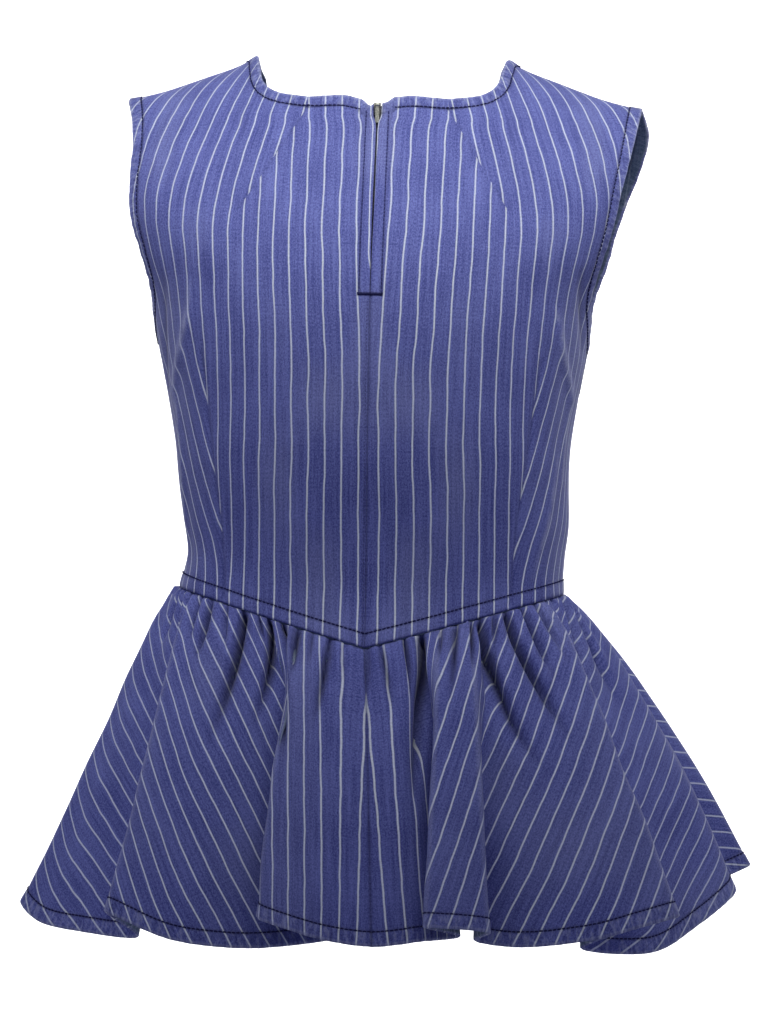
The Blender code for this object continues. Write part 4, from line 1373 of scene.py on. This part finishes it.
def backdrop():
    """A floor that curves up into a wall behind the top."""
    profile = [(-FLOOR_REACH, 0.0), (BEND_START, 0.0)]
    for turn in np.radians(90 * np.arange(1, 17) / 16):
        profile.append((BEND_START + BEND_RADIUS * sin(turn), BEND_RADIUS * (1 - cos(turn))))
    profile.append((BEND_START + BEND_RADIUS, WALL_HEIGHT))
    vertices = [(x, y, FLOOR_HEIGHT + z) for x in (-FLOOR_REACH, FLOOR_REACH) for y, z in profile]
    n = len(profile)
    mesh = bpy.data.meshes.new("studio_floor")
    mesh.from_pydata(vertices, [], [(i, i + 1, i + 1 + n, i + n) for i in range(n - 1)])
    mesh.shade_smooth()
    mesh.materials.append(studio("studio_floor", 0.72, 0.0))
    mesh.materials.append(studio("studio_wall", 0.93, 0.75))
    for face in mesh.polygons:
        face.material_index = 1 if face.center.y > BEND_START else 0
    floor = placed("studio_floor", mesh)


def light_studio():
    world = bpy.data.worlds.new("studio")
    world.use_nodes = True
    world.node_tree.nodes["Background"].inputs["Color"].default_value = (1.0, 1.0, 1.0, 1.0)
    world.node_tree.nodes["Background"].inputs["Strength"].default_value = WORLD_LIGHT
    bpy.context.scene.world = world
    bpy.context.scene.view_settings.view_transform = "Standard"
    for row in LAMPS:
        area_light(**dict(zip(LAMP_COLUMNS, row)))


# Putting it together

def finish_piece(piece, body, slot_name, *nodes):
    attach(piece, body)
    if nodes:
        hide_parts(*nodes)


def main():
    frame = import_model()
    place_camera()
    backdrop()
    light_studio()

    reverse = denim("denim_reverse", REVERSE_DARK, REVERSE_LIGHT, 0.30, 0.0)
    cloth = {name: [denim("denim_" + name, DENIM_DARK, DENIM_LIGHT, share, phase), reverse]
             for name, share, phase in STRIPES}
    right, right_outer, right_normals, right_lines = bodice_panel(
        "cloth_front_right", -1, -1, cloth["front_right"])
    left, left_outer, left_normals, left_lines = bodice_panel(
        "cloth_front_left", -1, 1, cloth["front_left"])
    back, _, _, back_lines = bodice_panel("cloth_back", 1, 0, cloth["back"])
    finish_piece(right, "top", "denim", "front_right")
    finish_piece(left, "top", "denim", "front_left")
    finish_piece(back, "top", "denim", "back")
    peplum, hem_lines = peplum_panels(cloth["peplum"])
    for name, piece in peplum.items():
        finish_piece(piece, "top", "denim", name)

    navy, blue = thread("navy_thread", NAVY_THREAD_AND_SHADE), thread("blue_thread", BLUE_THREAD)
    slot_thread = thread("slot_thread", SLOT_THREAD)
    slot_heights = np.linspace(SLOT_BOTTOM, SLOT_STITCH_TOP, 60)
    slot_lines = [line_on(right_outer, right_normals, -SLOT_STITCH, slot_heights),
                  line_on(left_outer, left_normals, SLOT_STITCH, slot_heights)]
    seam_heights = np.linspace(CENTRE_STITCH_FOOT, SLOT_BOTTOM - 4.0, 90)
    centre_lines = [line_on(right_outer, right_normals, -CENTRE_STITCH, seam_heights)]
    sewing = [
        thread_piece("topstitch_bodice", right_lines + left_lines + back_lines, navy),
        thread_piece("topstitch_hem", hem_lines, navy),
        thread_piece("stitch_centre", centre_lines, blue, 1.7, 0.7, 0.28),
        thread_piece("topstitch_slot", slot_lines, slot_thread, 2.7, 0.1, 0.46),
        bar_tack(navy),
    ]
    for piece in sewing:
        finish_piece(piece, "top", "denim")

    tape = zip_tape(tape_cloth("tape_cloth", TAPE))
    teeth = zip_teeth(metal("zip_teeth_metal", TEETH_METAL, 0.4))
    finish_piece(tape, "top", "tape", "zip_tape")
    finish_piece(teeth, "top", "zip_metal")
    slider_metal = metal("slider_metal", SLIDER_METAL, 0.34)
    pull_metal = metal("pull_metal", PULL_METAL, 0.42)
    for node, finish in (("zip_slider", slider_metal), ("zip_pull", pull_metal)):
        mesh = frame["nodes"][node].data
        mesh.materials.clear()
        mesh.materials.append(finish)


main()
